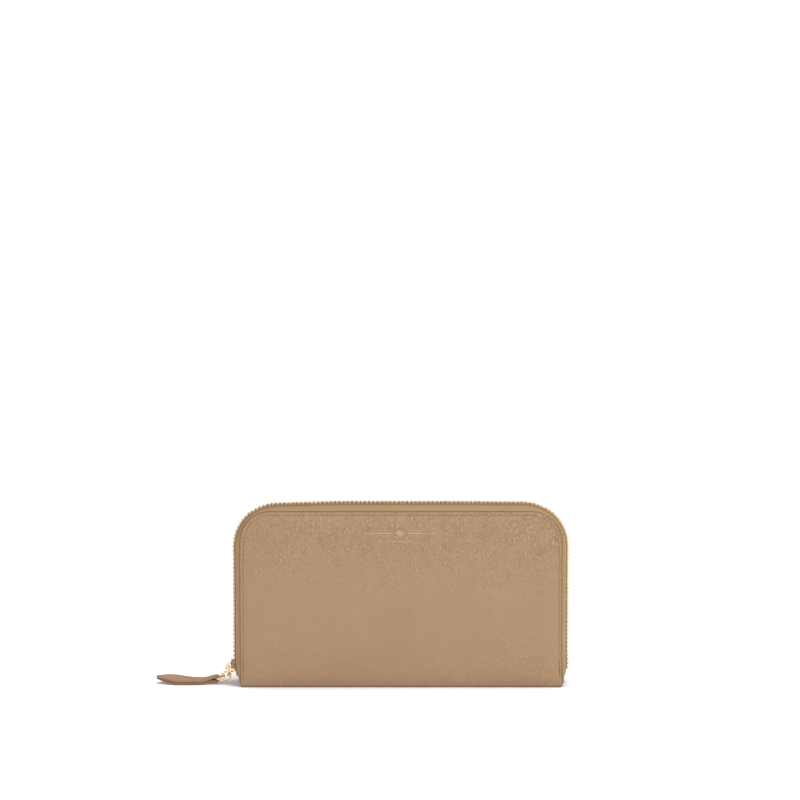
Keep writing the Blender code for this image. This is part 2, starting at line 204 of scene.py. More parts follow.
def add_lamp(name, place, target, width, height, power, colour):
    lamp_data = bpy.data.lights.new(name, "AREA")
    lamp_data.shape = "RECTANGLE"
    lamp_data.size = width
    lamp_data.size_y = height
    lamp_data.energy = power
    lamp_data.color = colour
    lamp = bpy.data.objects.new(name, lamp_data)
    scene.collection.objects.link(lamp)
    lamp.location = place
    lamp.rotation_euler = (Vector(target) - Vector(place)).to_track_quat("-Z", "Y").to_euler()


# Each lamp's name, place, target, width and height in metres, power in watts, and colour.
LAMPS = (
    ("top_lamp", (0.30, -0.30, 0.85), (0, 0, 0.05), 0.30, 0.30, 6.0, (1, 1, 1)),
    ("right_lamp", (0.8, -1.1, 0.55), (0, 0, 0.05), 0.4, 0.6, 7.0, (1.0, 0.97, 0.94)),
    ("left_lamp", (-0.9, -0.8, 0.5), (-0.1, 0, 0.02), 0.3, 0.5, 3.2, (1.0, 0.98, 0.96)),
)
for lamp_facts in LAMPS:
    add_lamp(*lamp_facts)
print("lens", round(camera_data.lens, 1), "mm, lamps:", len(LAMPS))

# %% [markdown]
# The sky does three jobs. It lights everything evenly, the camera sees it as plain white, and
# shiny metal mirrors a version of it that is dark near the horizon. Without that dark band gold
# plate looks like flat yellow paint.

# %% The sky
SKY_LIGHT = 0.82
SEEN_SKY_LIGHT = 1.1
MIRRORED_BAND = (("From Min", 0.10), ("From Max", 0.45), ("To Min", 0.16), ("To Max", 1.1))
world = bpy.data.worlds.new("studio")
scene.world = world
world.use_nodes = True
studio = world.node_tree
sky = studio.nodes["Background"]
sky.inputs["Color"].default_value = (1.0, 0.995, 0.99, 1.0)
sky.inputs["Strength"].default_value = SKY_LIGHT
seen_sky = studio.nodes.new("ShaderNodeBackground")
seen_sky.inputs["Color"].default_value = (1.0, 1.0, 1.0, 1.0)
seen_sky.inputs["Strength"].default_value = SEEN_SKY_LIGHT

looking = studio.nodes.new("ShaderNodeTexCoord")
split = studio.nodes.new("ShaderNodeSeparateXYZ")
studio.links.new(looking.outputs["Generated"], split.inputs[0])
band = studio.nodes.new("ShaderNodeMapRange")
band.interpolation_type = "SMOOTHSTEP"
for key, value in MIRRORED_BAND:
    band.inputs[key].default_value = value
studio.links.new(split.outputs["Z"], band.inputs["Value"])
mirrored_sky = studio.nodes.new("ShaderNodeBackground")
studio.links.new(band.outputs["Result"], mirrored_sky.inputs["Strength"])
ray = studio.nodes.new("ShaderNodeLightPath")


def choose_sky(when, otherwise, then):
    mix = studio.nodes.new("ShaderNodeMixShader")
    studio.links.new(ray.outputs[when], mix.inputs["Fac"])
    studio.links.new(otherwise.outputs[0], mix.inputs[1])
    studio.links.new(then.outputs[0], mix.inputs[2])
    return mix


lit = choose_sky("Is Glossy Ray", sky, mirrored_sky)
seen = choose_sky("Is Camera Ray", lit, seen_sky)
studio.links.new(seen.outputs[0], studio.nodes["World Output"].inputs["Surface"])

print("sky made")

# %% [markdown]
# The floor is plain pale paper that glows faintly. An ambient occlusion node measures how much open
# sky each spot sees, and that share mixes the paper's colour and its glow. The painted shade at the
# wallet's foot and under the tab comes from it.

# %% The floor
FLOOR_HALF = 3.0
CONTACT_SHADE = 24 * MM
OPEN_FROM = 0.45
PAPER_GLOW = (0.16, 0.26)
PAPER_SHADED = (0.40, 0.33, 0.34, 1)
PAPER_OPEN = (0.95, 0.94, 0.942, 1)

floor_mesh = bpy.data.meshes.new("floor")
floor_corners = [(-FLOOR_HALF, -FLOOR_HALF, 0), (FLOOR_HALF, -FLOOR_HALF, 0),
                 (FLOOR_HALF, FLOOR_HALF, 0), (-FLOOR_HALF, FLOOR_HALF, 0)]
floor_mesh.from_pydata(floor_corners, [], [(0, 1, 2, 3)])
floor = bpy.data.objects.new("floor", floor_mesh)
scene.collection.objects.link(floor)
paper = bpy.data.materials.new("floor_paper")
paper.use_nodes = True
paper_nodes = paper.node_tree.nodes
paper_shader = paper_nodes["Principled BSDF"]
paper_shader.inputs["Roughness"].default_value = 0.9
paper_shader.inputs["Emission Color"].default_value = (1.0, 0.985, 0.988, 1)
# Painted shade: ambient occlusion darkens the paper's colour and glow near the wallet; the glow itself is
# painted light that keeps the paper white.
contact = paper_nodes.new("ShaderNodeAmbientOcclusion")
contact.samples = 12
contact.inputs["Distance"].default_value = CONTACT_SHADE
open_sky = paper_nodes.new("ShaderNodeMapRange")
open_sky.inputs["From Min"].default_value = OPEN_FROM
shade = paper_nodes.new("ShaderNodeMix")
shade.data_type = "RGBA"
shade.inputs[6].default_value = PAPER_SHADED
shade.inputs[7].default_value = PAPER_OPEN
glow = paper_nodes.new("ShaderNodeMapRange")
glow.inputs["To Min"].default_value = PAPER_GLOW[0]
glow.inputs["To Max"].default_value = PAPER_GLOW[1]
for source, target in ((contact.outputs["AO"], open_sky.inputs["Value"]),
                       (open_sky.outputs["Result"], shade.inputs[0]),
                       (open_sky.outputs["Result"], glow.inputs[0]),
                       (shade.outputs[2], paper_shader.inputs["Base Color"]),
                       (glow.outputs[0], paper_shader.inputs["Emission Strength"])):
    paper.node_tree.links.new(source, target)
floor_mesh.materials.append(paper)
floor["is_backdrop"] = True
print("floor made, contact shade", round(CONTACT_SHADE / MM), "mm")

# %% [markdown]
# ## Finishes
# All patterns are worked out in the piece's own space, so they stay on it from any side. A few
# helpers keep the node trees short: one adds a node and links it, the others do sums with values
# or sockets, spread a range, and mix two colours.

# %% Node helpers
def new_finish(name, roughness, metallic=0.0, specular=0.5):
    material = bpy.data.materials.new(name)
    material.use_nodes = True
    shader = material.node_tree.nodes["Principled BSDF"]
    shader.inputs["Metallic"].default_value = metallic
    shader.inputs["Roughness"].default_value = roughness
    shader.inputs["Specular IOR Level"].default_value = specular
    return material, material.node_tree, shader


def node(tree, kind, values=None, links=None, **settings):
    """Add a node, set its fields and unlinked inputs, and link its other inputs."""
    made = tree.nodes.new(kind)
    for key, value in settings.items():
        setattr(made, key, value)
    for key, value in (values or {}).items():
        made.inputs[key].default_value = value
    for key, source in (links or {}).items():
        tree.links.new(source, made.inputs[key])
    return made


def add_math(tree, operation, a, b):
    values = {i: v for i, v in enumerate((a, b)) if isinstance(v, (int, float))}
    links = {i: v for i, v in enumerate((a, b)) if not isinstance(v, (int, float))}
    return node(tree, "ShaderNodeMath", values, links, operation=operation).outputs[0]


def remap(tree, source, from_low, from_high, to_low, to_high, curve="LINEAR"):
    values = {"From Min": from_low, "From Max": from_high, "To Min": to_low, "To Max": to_high}
    made = node(tree, "ShaderNodeMapRange", values, {"Value": source}, interpolation_type=curve)
    return made.outputs["Result"]


def mix_colours(tree, share, low, high):
    made = node(tree, "ShaderNodeMix", data_type="RGBA")
    tree.links.new(share, made.inputs[0])
    for socket, value in ((made.inputs[6], low), (made.inputs[7], high)):
        if isinstance(value, tuple):
            socket.default_value = (*value, 1)
        else:
            tree.links.new(value, socket)
    return made.outputs[2]


def add(tree, a, b):
    return add_math(tree, "ADD", a, b)


def times(tree, a, b):
    return add_math(tree, "MULTIPLY", a, b)


def less(tree, a, b):
    return add_math(tree, "SUBTRACT", a, b)


def noise_pattern(tree, place, scale, detail, **more):
    values = {"Scale": scale, "Detail": detail, **more}
    return node(tree, "ShaderNodeTexNoise", values, {"Vector": place})


def own_place(tree):
    return node(tree, "ShaderNodeTexCoord").outputs["Object"]


def tilt_light(tree, shader, height, strength, distance):
    bump = node(tree, "ShaderNodeBump", {"Strength": strength, "Distance": distance}, {"Height": height})
    tree.links.new(bump.outputs["Normal"], shader.inputs["Normal"])


print("node helpers ready")

# %% [markdown]
# The leather has fine round pebbles about a millimetre across. Where the hide was softer, towards
# the top and the right, it is creased into larger plump cells with fold lines between them. Both
# come from Voronoi cells whose edges are rounded, and a slow noise stirs them so that no row
# shows. They are too small to model, so they tilt the light in the material, and their colour carries
# painted light too: a painted highlight on the tops and painted shade in the hollows and folds.
# The padded edge, the groove and the seams are real shape.

# %% Patterns of the leather
LOOSE_Z = (50 * MM, 84 * MM, 0.72)
LOOSE_X = (20 * MM, 75 * MM, 0.25)
PLUMP_SHARE = 0.60
PLUMP_STRETCH = 0.52
FOLD_SCALE = 360.0


def rounded_cells(tree, place, scale, reach):
    """Cells with round shoulders: 0 in the creases between them, 1 on their tops."""
    cells = node(tree, "ShaderNodeTexVoronoi", {"Scale": scale}, {"Vector": place},
                 feature="DISTANCE_TO_EDGE")
    return remap(tree, cells.outputs["Distance"], 0.0, reach, 0.0, 1.0, "SMOOTHSTEP")


def stirred(tree, place, pebble):
    """The place, pushed about by up to half a pebble."""
    stir = noise_pattern(tree, place, 0.45 / pebble, 2.0)
    pull = node(tree, "ShaderNodeVectorMath", {1: (0.5, 0.5, 0.5)}, {0: stir.outputs["Color"]},
                operation="SUBTRACT")
    push = node(tree, "ShaderNodeVectorMath", {"Scale": 1.1 * pebble}, {0: pull.outputs[0]},
                operation="SCALE")
    return node(tree, "ShaderNodeVectorMath", None, {0: place, 1: push.outputs[0]},
                operation="ADD").outputs[0]


def fold_lines(tree, place):
    """0 along thin fold lines, 1 beside them."""
    folds = noise_pattern(tree, place, FOLD_SCALE, 1.5, Distortion=0.8)
    valley = add_math(tree, "ABSOLUTE", less(tree, folds.outputs["Fac"], 0.5), 0.0)
    return remap(tree, valley, 0.0, 0.12, 0.0, 1.0, "SMOOTHSTEP")


def looseness(tree, place, broad, wrinkle):
    """How strongly the leather is creased at a place: most near the top and the right."""
    parts = node(tree, "ShaderNodeSeparateXYZ", None, {0: place}).outputs
    upper = remap(tree, parts["Z"], LOOSE_Z[0], LOOSE_Z[1], 0.0, LOOSE_Z[2])
    right = remap(tree, parts["X"], LOOSE_X[0], LOOSE_X[1], 0.0, LOOSE_X[2])
    patchy = remap(tree, broad, 0.42, 0.60, 0.0, 0.20)
    milled = times(tree, add(tree, add(tree, add(tree, upper, right), patchy), 0.03), wrinkle)
    uneven = noise_pattern(tree, place, 170.0, 1.0)
    return times(tree, milled, remap(tree, uneven.outputs["Fac"], 0.35, 0.65, 0.45, 1.35))


print("leather patterns ready")

# %% [markdown]
# Four leathers share one recipe: the panels, the strip round the zip, the pockets and the tab.
# Each has its own colours, pebble size and shine. An attribute called "edge" on a piece darkens it
# where set: on the tab that is the paint on its cut edges, on the panels it is painted shade.

# %% The leathers
LEATHER_BUMP = 0.30 * MM


def leather_finish(name, light, dark, pebble=0.95 * MM, depth=1.0, roughness=0.47,
                   wrinkle=1.0, edge_paint_and_shade_tone=None, shine=0.42):
    """Pebbled leather: painted highlight on the pebbles, painted shade in the creases, and the edge
    attribute's darker tone.
    """
    material, tree, shader = new_finish(name, roughness, specular=shine)
    place = own_place(tree)
    warped = stirred(tree, place, pebble)
    stretched = node(tree, "ShaderNodeMapping", {"Scale": (1.0, 1.0, PLUMP_STRETCH)},
                     {"Vector": warped}).outputs[0]
    pebbles = rounded_cells(tree, warped, 1 / pebble, 0.34)
    plumps = rounded_cells(tree, stretched, PLUMP_SHARE / pebble, 0.30)
    fine = noise_pattern(tree, place, 3.2 / pebble, 3.0, Roughness=0.6).outputs["Fac"]
    broad = noise_pattern(tree, place, 34.0, 2.0).outputs["Fac"]
    milled = looseness(tree, place, broad, wrinkle)

    creased = add(tree, times(tree, plumps, 0.85), times(tree, fold_lines(tree, stretched), 0.55))
    height = add(tree, times(tree, pebbles, 0.34), times(tree, fine, 0.12))
    height = add(tree, height, times(tree, creased, milled))
    tilt_light(tree, shader, height, 1.0, LEATHER_BUMP * depth)

    # Painted light: the tone rises on pebble and cell tops (a painted highlight) and falls in the hollows
    # and folds (painted shade); the broad noise is the leather's own uneven tone.
    painted_crease_shade = times(tree, less(tree, 1.0, plumps), milled)
    tone = add(tree, times(tree, pebbles, 0.28), times(tree, broad, 0.45))
    tone = less(tree, add(tree, tone, times(tree, milled, 0.55)), times(tree, painted_crease_shade, 0.90))
    colour = mix_colours(tree, remap(tree, tone, -0.35, 0.95, 0.0, 1.0), dark, light)
    if edge_paint_and_shade_tone:
        edge = node(tree, "ShaderNodeAttribute", attribute_name="edge")
        colour = mix_colours(tree, edge.outputs["Fac"], colour, edge_paint_and_shade_tone)
    tree.links.new(colour, shader.inputs["Base Color"])
    dull = remap(tree, fine, 0.3, 0.7, roughness - 0.05, roughness + 0.10)
    tree.links.new(dull, shader.inputs["Roughness"])
    return material


TAN = (0.276, 0.176, 0.095)
TAN_DARK_TONE_AND_SHADE = (0.186, 0.111, 0.054)
# The panels' darker edge tone is painted shade, laid where the edge attribute is set.
PAINTED_EDGE_SHADE = (0.110, 0.058, 0.030)
leather = leather_finish("tan_leather", TAN, TAN_DARK_TONE_AND_SHADE, edge_paint_and_shade_tone=PAINTED_EDGE_SHADE)
edge_leather = leather_finish("edge_leather", (0.270, 0.176, 0.094), (0.224, 0.140, 0.072),
                              wrinkle=0.6, depth=0.7, roughness=0.58, shine=0.22)
pocket_leather = leather_finish("pocket_leather", TAN, TAN_DARK_TONE_AND_SHADE, pebble=0.7 * MM, depth=0.6)
tab_leather = leather_finish("tab_leather", (0.310, 0.173, 0.083), (0.258, 0.141, 0.065),
                             pebble=0.8 * MM, depth=0.7, edge_paint_and_shade_tone=(0.185, 0.098, 0.052))
print("leathers made")

# %% [markdown]
# Gold plate is a mirror with a warm tint. A faint ripple and tiny rough patches keep it from
# looking drawn. The zip tape and the lining are woven, so two crossing waves make the threads.

# %% Metals, thread, tape, lining and board
def gold_finish(name, colour, dark, roughness, ripple):
    material, tree, shader = new_finish(name, roughness, metallic=1.0)
    place = own_place(tree)
    wear = noise_pattern(tree, place, 900.0, 4.0).outputs["Fac"]
    cloud = noise_pattern(tree, place, 300.0, 2.0).outputs["Fac"]
    tree.links.new(mix_colours(tree, cloud, dark, colour), shader.inputs["Base Color"])
    rough = remap(tree, wear, 0.3, 0.75, roughness - 0.05, roughness + 0.10)
    tree.links.new(rough, shader.inputs["Roughness"])
    tilt_light(tree, shader, cloud, 0.25, ripple)
    return material


def woven_finish(name, light, dark, pitch, slant, roughness=0.85):
    """Two sets of threads that cross, turned by a slant as in twill or tape."""
    material, tree, shader = new_finish(name, roughness, specular=0.25)
    shader.inputs["Sheen Weight"].default_value = 0.15
    place = own_place(tree)
    turned = node(tree, "ShaderNodeMapping", {"Rotation": (0, slant, 0)}, {"Vector": place}).outputs[0]
    wave_values = {"Scale": 0.314 / pitch, "Distortion": 0.4, "Detail": 1.0}
    across, along = [node(tree, "ShaderNodeTexWave", wave_values, {"Vector": turned},
                          bands_direction=direction).outputs["Fac"] for direction in ("X", "Z")]
    grain = noise_pattern(tree, place, 2500.0, 2.0).outputs["Fac"]
    weave = add(tree, times(tree, across, 0.6), times(tree, along, 0.4))
    height = add(tree, weave, times(tree, grain, 0.3))
    tilt_light(tree, shader, height, 0.6, 0.12 * MM)
    colour = mix_colours(tree, remap(tree, height, 0.2, 1.1, 0, 1), dark, light)
    tree.links.new(colour, shader.inputs["Base Color"])
    return material


def plain_finish(name, light, dark, scale, roughness, bump_depth, specular=0.4):
    material, tree, shader = new_finish(name, roughness, specular=specular)
    cloud = noise_pattern(tree, own_place(tree), scale, 4.0).outputs["Fac"]
    tree.links.new(mix_colours(tree, cloud, dark, light), shader.inputs["Base Color"])
    rough = remap(tree, cloud, 0.3, 0.7, roughness - 0.06, roughness + 0.06)
    tree.links.new(rough, shader.inputs["Roughness"])
    tilt_light(tree, shader, cloud, 0.5, bump_depth)
    return material


gold = gold_finish("gold_plate", (0.90, 0.72, 0.44), (0.80, 0.58, 0.30), 0.15, 0.03 * MM)
zip_gold = gold_finish("zip_gold", (0.70, 0.51, 0.27), (0.52, 0.36, 0.17), 0.28, 0.02 * MM)
foil = gold_finish("stamped_foil", (0.44, 0.33, 0.20), (0.34, 0.25, 0.15), 0.48, 0.04 * MM)
tape_cloth = woven_finish("zip_tape_weave", (0.212, 0.132, 0.066), (0.140, 0.084, 0.041),
                          0.55 * MM, 0.6)
lining_cloth = woven_finish("lining_twill", (0.30, 0.20, 0.125), (0.21, 0.135, 0.083),
                            0.45 * MM, 0.78)
thread = plain_finish("sewing_thread", (0.285, 0.176, 0.100), (0.19, 0.113, 0.062),
                      2600.0, 0.6, 0.05 * MM)
edge_paint = plain_finish("edge_paint", (0.120, 0.064, 0.034), (0.085, 0.045, 0.024),
                          500.0, 0.45, 0.05 * MM)
board_stock = plain_finish("grey_board", (0.50, 0.46, 0.40), (0.40, 0.36, 0.30),
                           900.0, 0.9, 0.08 * MM)
print("metals and cloths made")

# %% [markdown]
# ## The outer leather
# One skin covers the front panel, turns under the wallet and meets the back skin in the middle
# of the spine. It is laid out flat first: x along the wallet, s up the sheet from the middle
# of the spine. A border of loops follows the edge, where the leather is turned over and sewn,
# and a grid fills the middle. Then every point is wrapped round the spine's corner.

# %% Lay out the flat sheet
SKIN = 1.1 * MM
SPINE_R = 1.3 * MM
SPINE_FLAT = FACE_Y - SPINE_R
SPINE_ARC = SPINE_R * math.pi / 2
SHEET_RISE = SPINE_FLAT + SPINE_ARC - SPINE_R
SHEET_TOP = SHEET_RISE + EDGE_TOP
SHEET_CORNER_S = SHEET_TOP - PANEL_R
STITCH_IN = 2.2 * MM
BORDER_IN = (0.0, 0.14, 0.34, 0.7, 1.2, 1.6, 1.9, 2.2, 2.5, 2.8, 3.3, 4.0, 5.2, 7.0, 9.5)
ROWS = ([0, 4, 8, 10.2] + [10.8 + 0.35 * i for i in range(9)]
        + [14.4, 15.6, 17.2, 19.0] + [21.0 + 2.0 * i for i in range(34)])


def edge_dip(inset):
    """How far the surface lies below the padded face, by distance from the turned edge."""
    d = inset / MM
    lip = 0.55 * (1 - min(1.0, d / 0.5)) ** 2
    strip = 0.38 * (1 - ease(2.4, 4.6, d))
    groove = 0.30 * math.exp(-((d - STITCH_IN / MM) / 0.26) ** 2)
    crown = 0.14 * (1 - ease(3.0, 10.0, d))
    return (lip + strip + groove + crown) * MM


def sheet_loop(inset, rows, top_count, arc_count):
    """Points (x, s) of one loop up the left edge, over the top and down the right."""
    half = EDGE_X - inset
    top = SHEET_TOP - inset
    radius = PANEL_R - inset
    loop = [(-half, s) for s in rows]
    for i in range(arc_count + 1):
        turn = math.pi * (1 - 0.5 * i / arc_count)
        loop.append((-half + radius + radius * math.cos(turn),
                     top - radius + radius * math.sin(turn)))
    span = 2 * (half - radius)
    for i in range(1, top_count):
        loop.append((-half + radius + span * i / top_count, top))
    for i in range(arc_count + 1):
        turn = math.pi / 2 * (1 - i / arc_count)
        loop.append((half - radius + radius * math.cos(turn),
                     top - radius + radius * math.sin(turn)))
    loop += [(half, s) for s in reversed(rows)]
    return loop


def flat_sheet():
    """The sheet's points as (x, s, inset), its faces, and the chain of points at s = 0."""
    rows = [r * MM for r in ROWS if r * MM < SHEET_CORNER_S - 0.5 * MM]
    top_count = 92
    arc_count = 16
    points = []
    faces = []
    loops = []
    for inset in BORDER_IN:
        start = len(points)
        loop = sheet_loop(inset * MM, rows, top_count, arc_count)
        points += [(x, s, inset * MM) for x, s in loop]
        loops.append(list(range(start, len(points))))
    for outer, inner in zip(loops, loops[1:]):
        for i in range(len(outer) - 1):
            faces.append((outer[i], outer[i + 1], inner[i + 1], inner[i]))
    rim = loops[-1]
    side = len(rows) + arc_count // 2
    left = rim[:side + 1]
    top = rim[side:len(rim) - side]
    right = list(reversed(rim[len(rim) - side - 1:]))
    columns = len(top)
    grid = [[None] * columns for _ in range(side + 1)]
    free_from = 20 * MM
    corner_s = points[left[-1]][1]
    for j in range(side + 1):
        lx, ls, _ = points[left[j]]
        rx = points[right[j]][0]
        v = max(0.0, (ls - free_from) / (corner_s - free_from))
        for i in range(columns):
            tx, ts, _ = points[top[i]]
            u = (tx - points[top[0]][0]) / (points[top[-1]][0] - points[top[0]][0])
            if j == side:
                grid[j][i] = top[i]
                continue
            if i == 0:
                grid[j][i] = left[j]
                continue
            if i == columns - 1:
                grid[j][i] = right[j]
                continue
            flat_x = lx + u * (rx - lx)
            top_pull = tx - (points[top[0]][0] + u * (points[top[-1]][0] - points[top[0]][0]))
            x = flat_x + v * top_pull
            s = ls + v * (ts - corner_s)
            grid[j][i] = len(points)
            points.append((x, s, 12 * MM))
    for j in range(side):
        for i in range(columns - 1):
            faces.append((grid[j][i], grid[j + 1][i], grid[j + 1][i + 1], grid[j][i + 1]))
    foot = [loop[0] for loop in loops] + grid[0][1:-1] + [loop[-1] for loop in reversed(loops)]
    return points, faces, loops[0], foot


print("sheet is", round(2 * EDGE_X / MM), "x", round(SHEET_TOP / MM, 1), "mm")

# %% [markdown]
# A real panel is not a perfect sheet. Its sewn side borders are narrower than the top one, the
# right edge bellies out a little, and the leather rises and falls softly over its board. These
# three rules give every point its place, and the seams are laid by the same rules, so that they
# stay in their groove.

# %% Wrap the sheet round the spine
LIP_DEPTH = 0.55 * MM
LIP_WIDTH = 0.5 * MM
NEAR_SPINE = 6 * MM
EDGE_SHADE_WIDTH = 0.3 * MM


def wrap(x, s, dip, side):
    """Put a point of the flat sheet on the wallet; dip is its depth below the surface."""
    if s < SPINE_FLAT:
        y, z = -s, 0.0
        ny, nz = 0.0, -1.0
    elif s < SPINE_FLAT + SPINE_ARC:
        turn = (s - SPINE_FLAT) / SPINE_R
        ny, nz = -math.sin(turn), -math.cos(turn)
        y, z = -SPINE_FLAT + SPINE_R * ny, SPINE_R + SPINE_R * nz
    else:
        y, z = -FACE_Y, s - SHEET_RISE
        ny, nz = -1.0, 0.0
    return (x, -side * (y - ny * dip), z - nz * dip)


def taper(x, s):
    """Shift x: a fuller right edge, most of all low down, and narrow borders at the sides."""
    height = s - SHEET_RISE
    way = 1 if x > 0 else -1
    from_edge = EDGE_X - abs(x)
    out = -0.4 * MM * (1 - ease(-1.0 * MM, 0.4 * MM, height))
    if x > 0:
        out += 0.9 * MM + 0.5 * MM * (1 - ease(3 * MM, 22 * MM, height))
    narrow = 0.7 * MM * ease(0.0, 2.2 * MM, from_edge) * (1 - ease(2.4 * MM, 9 * MM, from_edge))
    narrow *= 1 - ease(70 * MM, 84 * MM, height)
    return x + way * (out * (1 - ease(4 * MM, 30 * MM, from_edge)) + narrow)


def cover_waves(x, s):
    """Slight rise and fall of soft leather over its board, none at the sewn edge."""
    broad = noise.noise(Vector((x * 26, s * 26, 1.7)))
    small = noise.noise(Vector((x * 95, s * 70, 5.1)))
    return (0.09 * broad + 0.03 * small) * MM


def edge_darkness(s, inset):
    """Painted shade: dark at the turned edge, in the stitched groove, along the lowest line and towards the
    bottom.
    """
    low = SPINE_FLAT + SPINE_ARC
    turned = 1 - inset / EDGE_SHADE_WIDTH
    groove = 0.42 * (1 - min(1.0, abs(inset - STITCH_IN) / (0.32 * MM)))
    lowest = 0.90 * (1 - ease(low - 1.9 * MM, low - 0.5 * MM, s))
    above = 0.14 * (1 - ease(low - 0.5 * MM, low + 6 * MM, s))
    return max(turned, groove, lowest, above, 0.0)


def make_skin(name, side):
    """The outer leather of one half: side is -1 for the front and 1 for the back."""
    flat, faces, rim, foot = flat_sheet()
    count = len(flat)
    outer = []
    inner = []
    for x, s, inset in flat:
        near_floor = ease(2 * MM, 10 * MM, s - SHEET_RISE)
        soft = cover_waves(x * -side, s) * ease(2.5 * MM, 8 * MM, inset) * near_floor
        dip = edge_dip(inset)
        lip = LIP_DEPTH * (1 - min(1.0, inset / LIP_WIDTH)) ** 2
        if s < SPINE_FLAT + SPINE_ARC:
            dip = lip
        elif s < SHEET_RISE + NEAR_SPINE:
            share = ease(SPINE_FLAT + SPINE_ARC, SHEET_RISE + NEAR_SPINE, s)
            dip = share * dip + (1 - share) * lip
        tx = taper(x, s)
        outer.append(wrap(tx, s, max(0.0, dip + soft), side))
        inner.append(wrap(tx, s, max(SKIN - 0.02 * MM, dip + soft + 0.25 * MM), side))
    points = outer + inner
    all_faces = list(faces) + [tuple(count + k for k in reversed(f)) for f in faces]
    for chain in (rim, foot):
        for a, b in zip(chain, chain[1:]):
            all_faces.append((a, b, count + b, count + a))
    skin = make_piece(name, points, all_faces, leather, smooth_deg=65)
    # Painted shade on the panel: the edge attribute darkens the crevice at the turned edge, the stitched
    # groove and the bottom; the hidden inner face is dark along the turned edge.
    shown = [edge_darkness(s, inset) for _, s, inset in flat]
    hidden = [1.0 if inset < EDGE_SHADE_WIDTH else 0.0 for _, _, inset in flat]
    paint = skin.data.attributes.new("edge", "FLOAT", "POINT")
    paint.data.foreach_set("value", shown + hidden)
    return skin


print("skin rules ready")

# %% [markdown]
# The front skin also covers half of the spine, and the back skin the other half. The spine stays
# on the ground while the covers open.

# %% Make the front and back skins
cover_bodies = {-1: "front_cover", 1: "back_cover"}
cover_names = {-1: "front", 1: "back"}
for side in (-1, 1):
    skin = make_skin(cover_names[side] + "_skin", side)
    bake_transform(skin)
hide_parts("front_leather", "spine_leather")
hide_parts("back_leather")

# %% [markdown]
# ## The rim: rolled facing and woven tape
# Between the cover's edge and the zip runs a narrow strip of leather, rolled over its own edge.
# It starts under the cover and ends on the zip's tape. Both are one profile carried along the
# same path: up the left side, round the corner, over the top and down again.

# %% The path of the zip, and pieces carried along it
TOOTH_IN = 3.0 * MM
LEFT_SINK = 1.0 * MM
RIGHT_SINK = 0.3 * MM


def rim_length(z_left, z_right):
    return (CORNER_Z - z_left) + (CORNER_Z - z_right) + 2 * CORNER_X + math.pi * ZIP_R


def rim_station(place, z_left, z_right):
    """At a distance along the zip: points on the cover's edge and the zip's line, and the way out."""
    left = CORNER_Z - z_left
    bend = math.pi / 2 * ZIP_R
    across = 2 * CORNER_X
    right = CORNER_Z - z_right
    panel_z = EDGE_TOP - PANEL_R
    panel_x = EDGE_X - PANEL_R
    zip_x = EDGE_X + ZIP_OUT
    if place < left:
        share = place / left
        edge = (-EDGE_X, z_left + share * (panel_z - z_left))
        line = (-zip_x, z_left + place)
        way = (-1.0, 0.0)
    elif place < left + bend:
        turn = math.pi - (place - left) / ZIP_R
        way = (math.cos(turn), math.sin(turn))
        edge = (-panel_x + PANEL_R * way[0], panel_z + PANEL_R * way[1])
        line = (-CORNER_X + ZIP_R * way[0], CORNER_Z + ZIP_R * way[1])
    elif place < left + bend + across:
        share = 2 * (place - left - bend) / across - 1
        edge = (share * panel_x, EDGE_TOP)
        line = (share * CORNER_X, EDGE_TOP + ZIP_OUT)
        way = (0.0, 1.0)
    elif place < left + 2 * bend + across:
        turn = math.pi / 2 - (place - left - bend - across) / ZIP_R
        way = (math.cos(turn), math.sin(turn))
        edge = (panel_x + PANEL_R * way[0], panel_z + PANEL_R * way[1])
        line = (CORNER_X + ZIP_R * way[0], CORNER_Z + ZIP_R * way[1])
    else:
        share = min(1.0, (place - left - 2 * bend - across) / right)
        edge = (EDGE_X, panel_z - share * (panel_z - z_right))
        line = (zip_x, CORNER_Z - share * right)
        way = (1.0, 0.0)
    sink = LEFT_SINK if line[0] < 0 else RIGHT_SINK
    sink *= ease(28 * MM, 74 * MM, abs(line[0])) * (1 - 0.7 * ease(80 * MM, 89 * MM, abs(line[0])))
    sink *= ease(70 * MM, 96 * MM, line[1])
    return np.array(edge), np.array(line) - (0, sink), np.array(way)


def tuck(x, z):
    """Near the ground the strip draws in towards the spine's end."""
    if x < 0:
        return 1 - 0.80 * (1 - ease(1.0 * MM, 9.0 * MM, z))
    return 1 - 0.50 * (1 - ease(2.0 * MM, 12 * MM, z))


def rim_point(station, out):
    """The (x, z) of a point that stands out beyond the cover's edge."""
    edge, line, way = station
    near = line - (ZIP_OUT - TOOTH_IN) * way
    if out >= TOOTH_IN:
        point = line - (ZIP_OUT - out) * way
    elif out >= 0:
        point = edge + out / TOOTH_IN * (near - edge)
    else:
        point = edge + out * way
    x, z = edge + tuck(line[0], line[1]) * (point - edge)
    return taper(x, z + SHEET_RISE), z


def rim_line(out, z_left, z_right, step=1.5 * MM):
    """Points (x, z) and ways out along the rim, at one distance beyond the cover's edge."""
    total = rim_length(z_left, z_right)
    count = int(total / step)
    stations = [rim_station(total * i / count, z_left, z_right) for i in range(count + 1)]
    return [(rim_point(station, out), station[2]) for station in stations]


def rim_sweep(name, profile, z_left, z_right, material, step=2.0 * MM, waves=0.0, seed=0.0):
    """Carry a closed profile of (out, y) points along the zip's path."""
    total = rim_length(z_left, z_right)
    count = int(total / step)
    rows = []
    for i in range(count + 1):
        station = rim_station(total * i / count, z_left, z_right)
        row = []
        for out, y in profile:
            x, z = rim_point(station, out)
            swell = waves * noise.noise(Vector((x * 130, z * 130, seed + y * 90)))
            row.append((x + swell * station[2][0], y, z + swell * station[2][1]))
        rows.append(row)
    return make_piece(name, *loft(rows), material, smooth_deg=60)


print("zip path:", round(rim_length(0, 0) / MM), "mm long")

# %% [markdown]
# A facing is rolled over its own edge, so its profile goes out, round and back in. The tape
# slopes from under it to the teeth. Both profiles are pairs of (out, y) in mm, for one half.

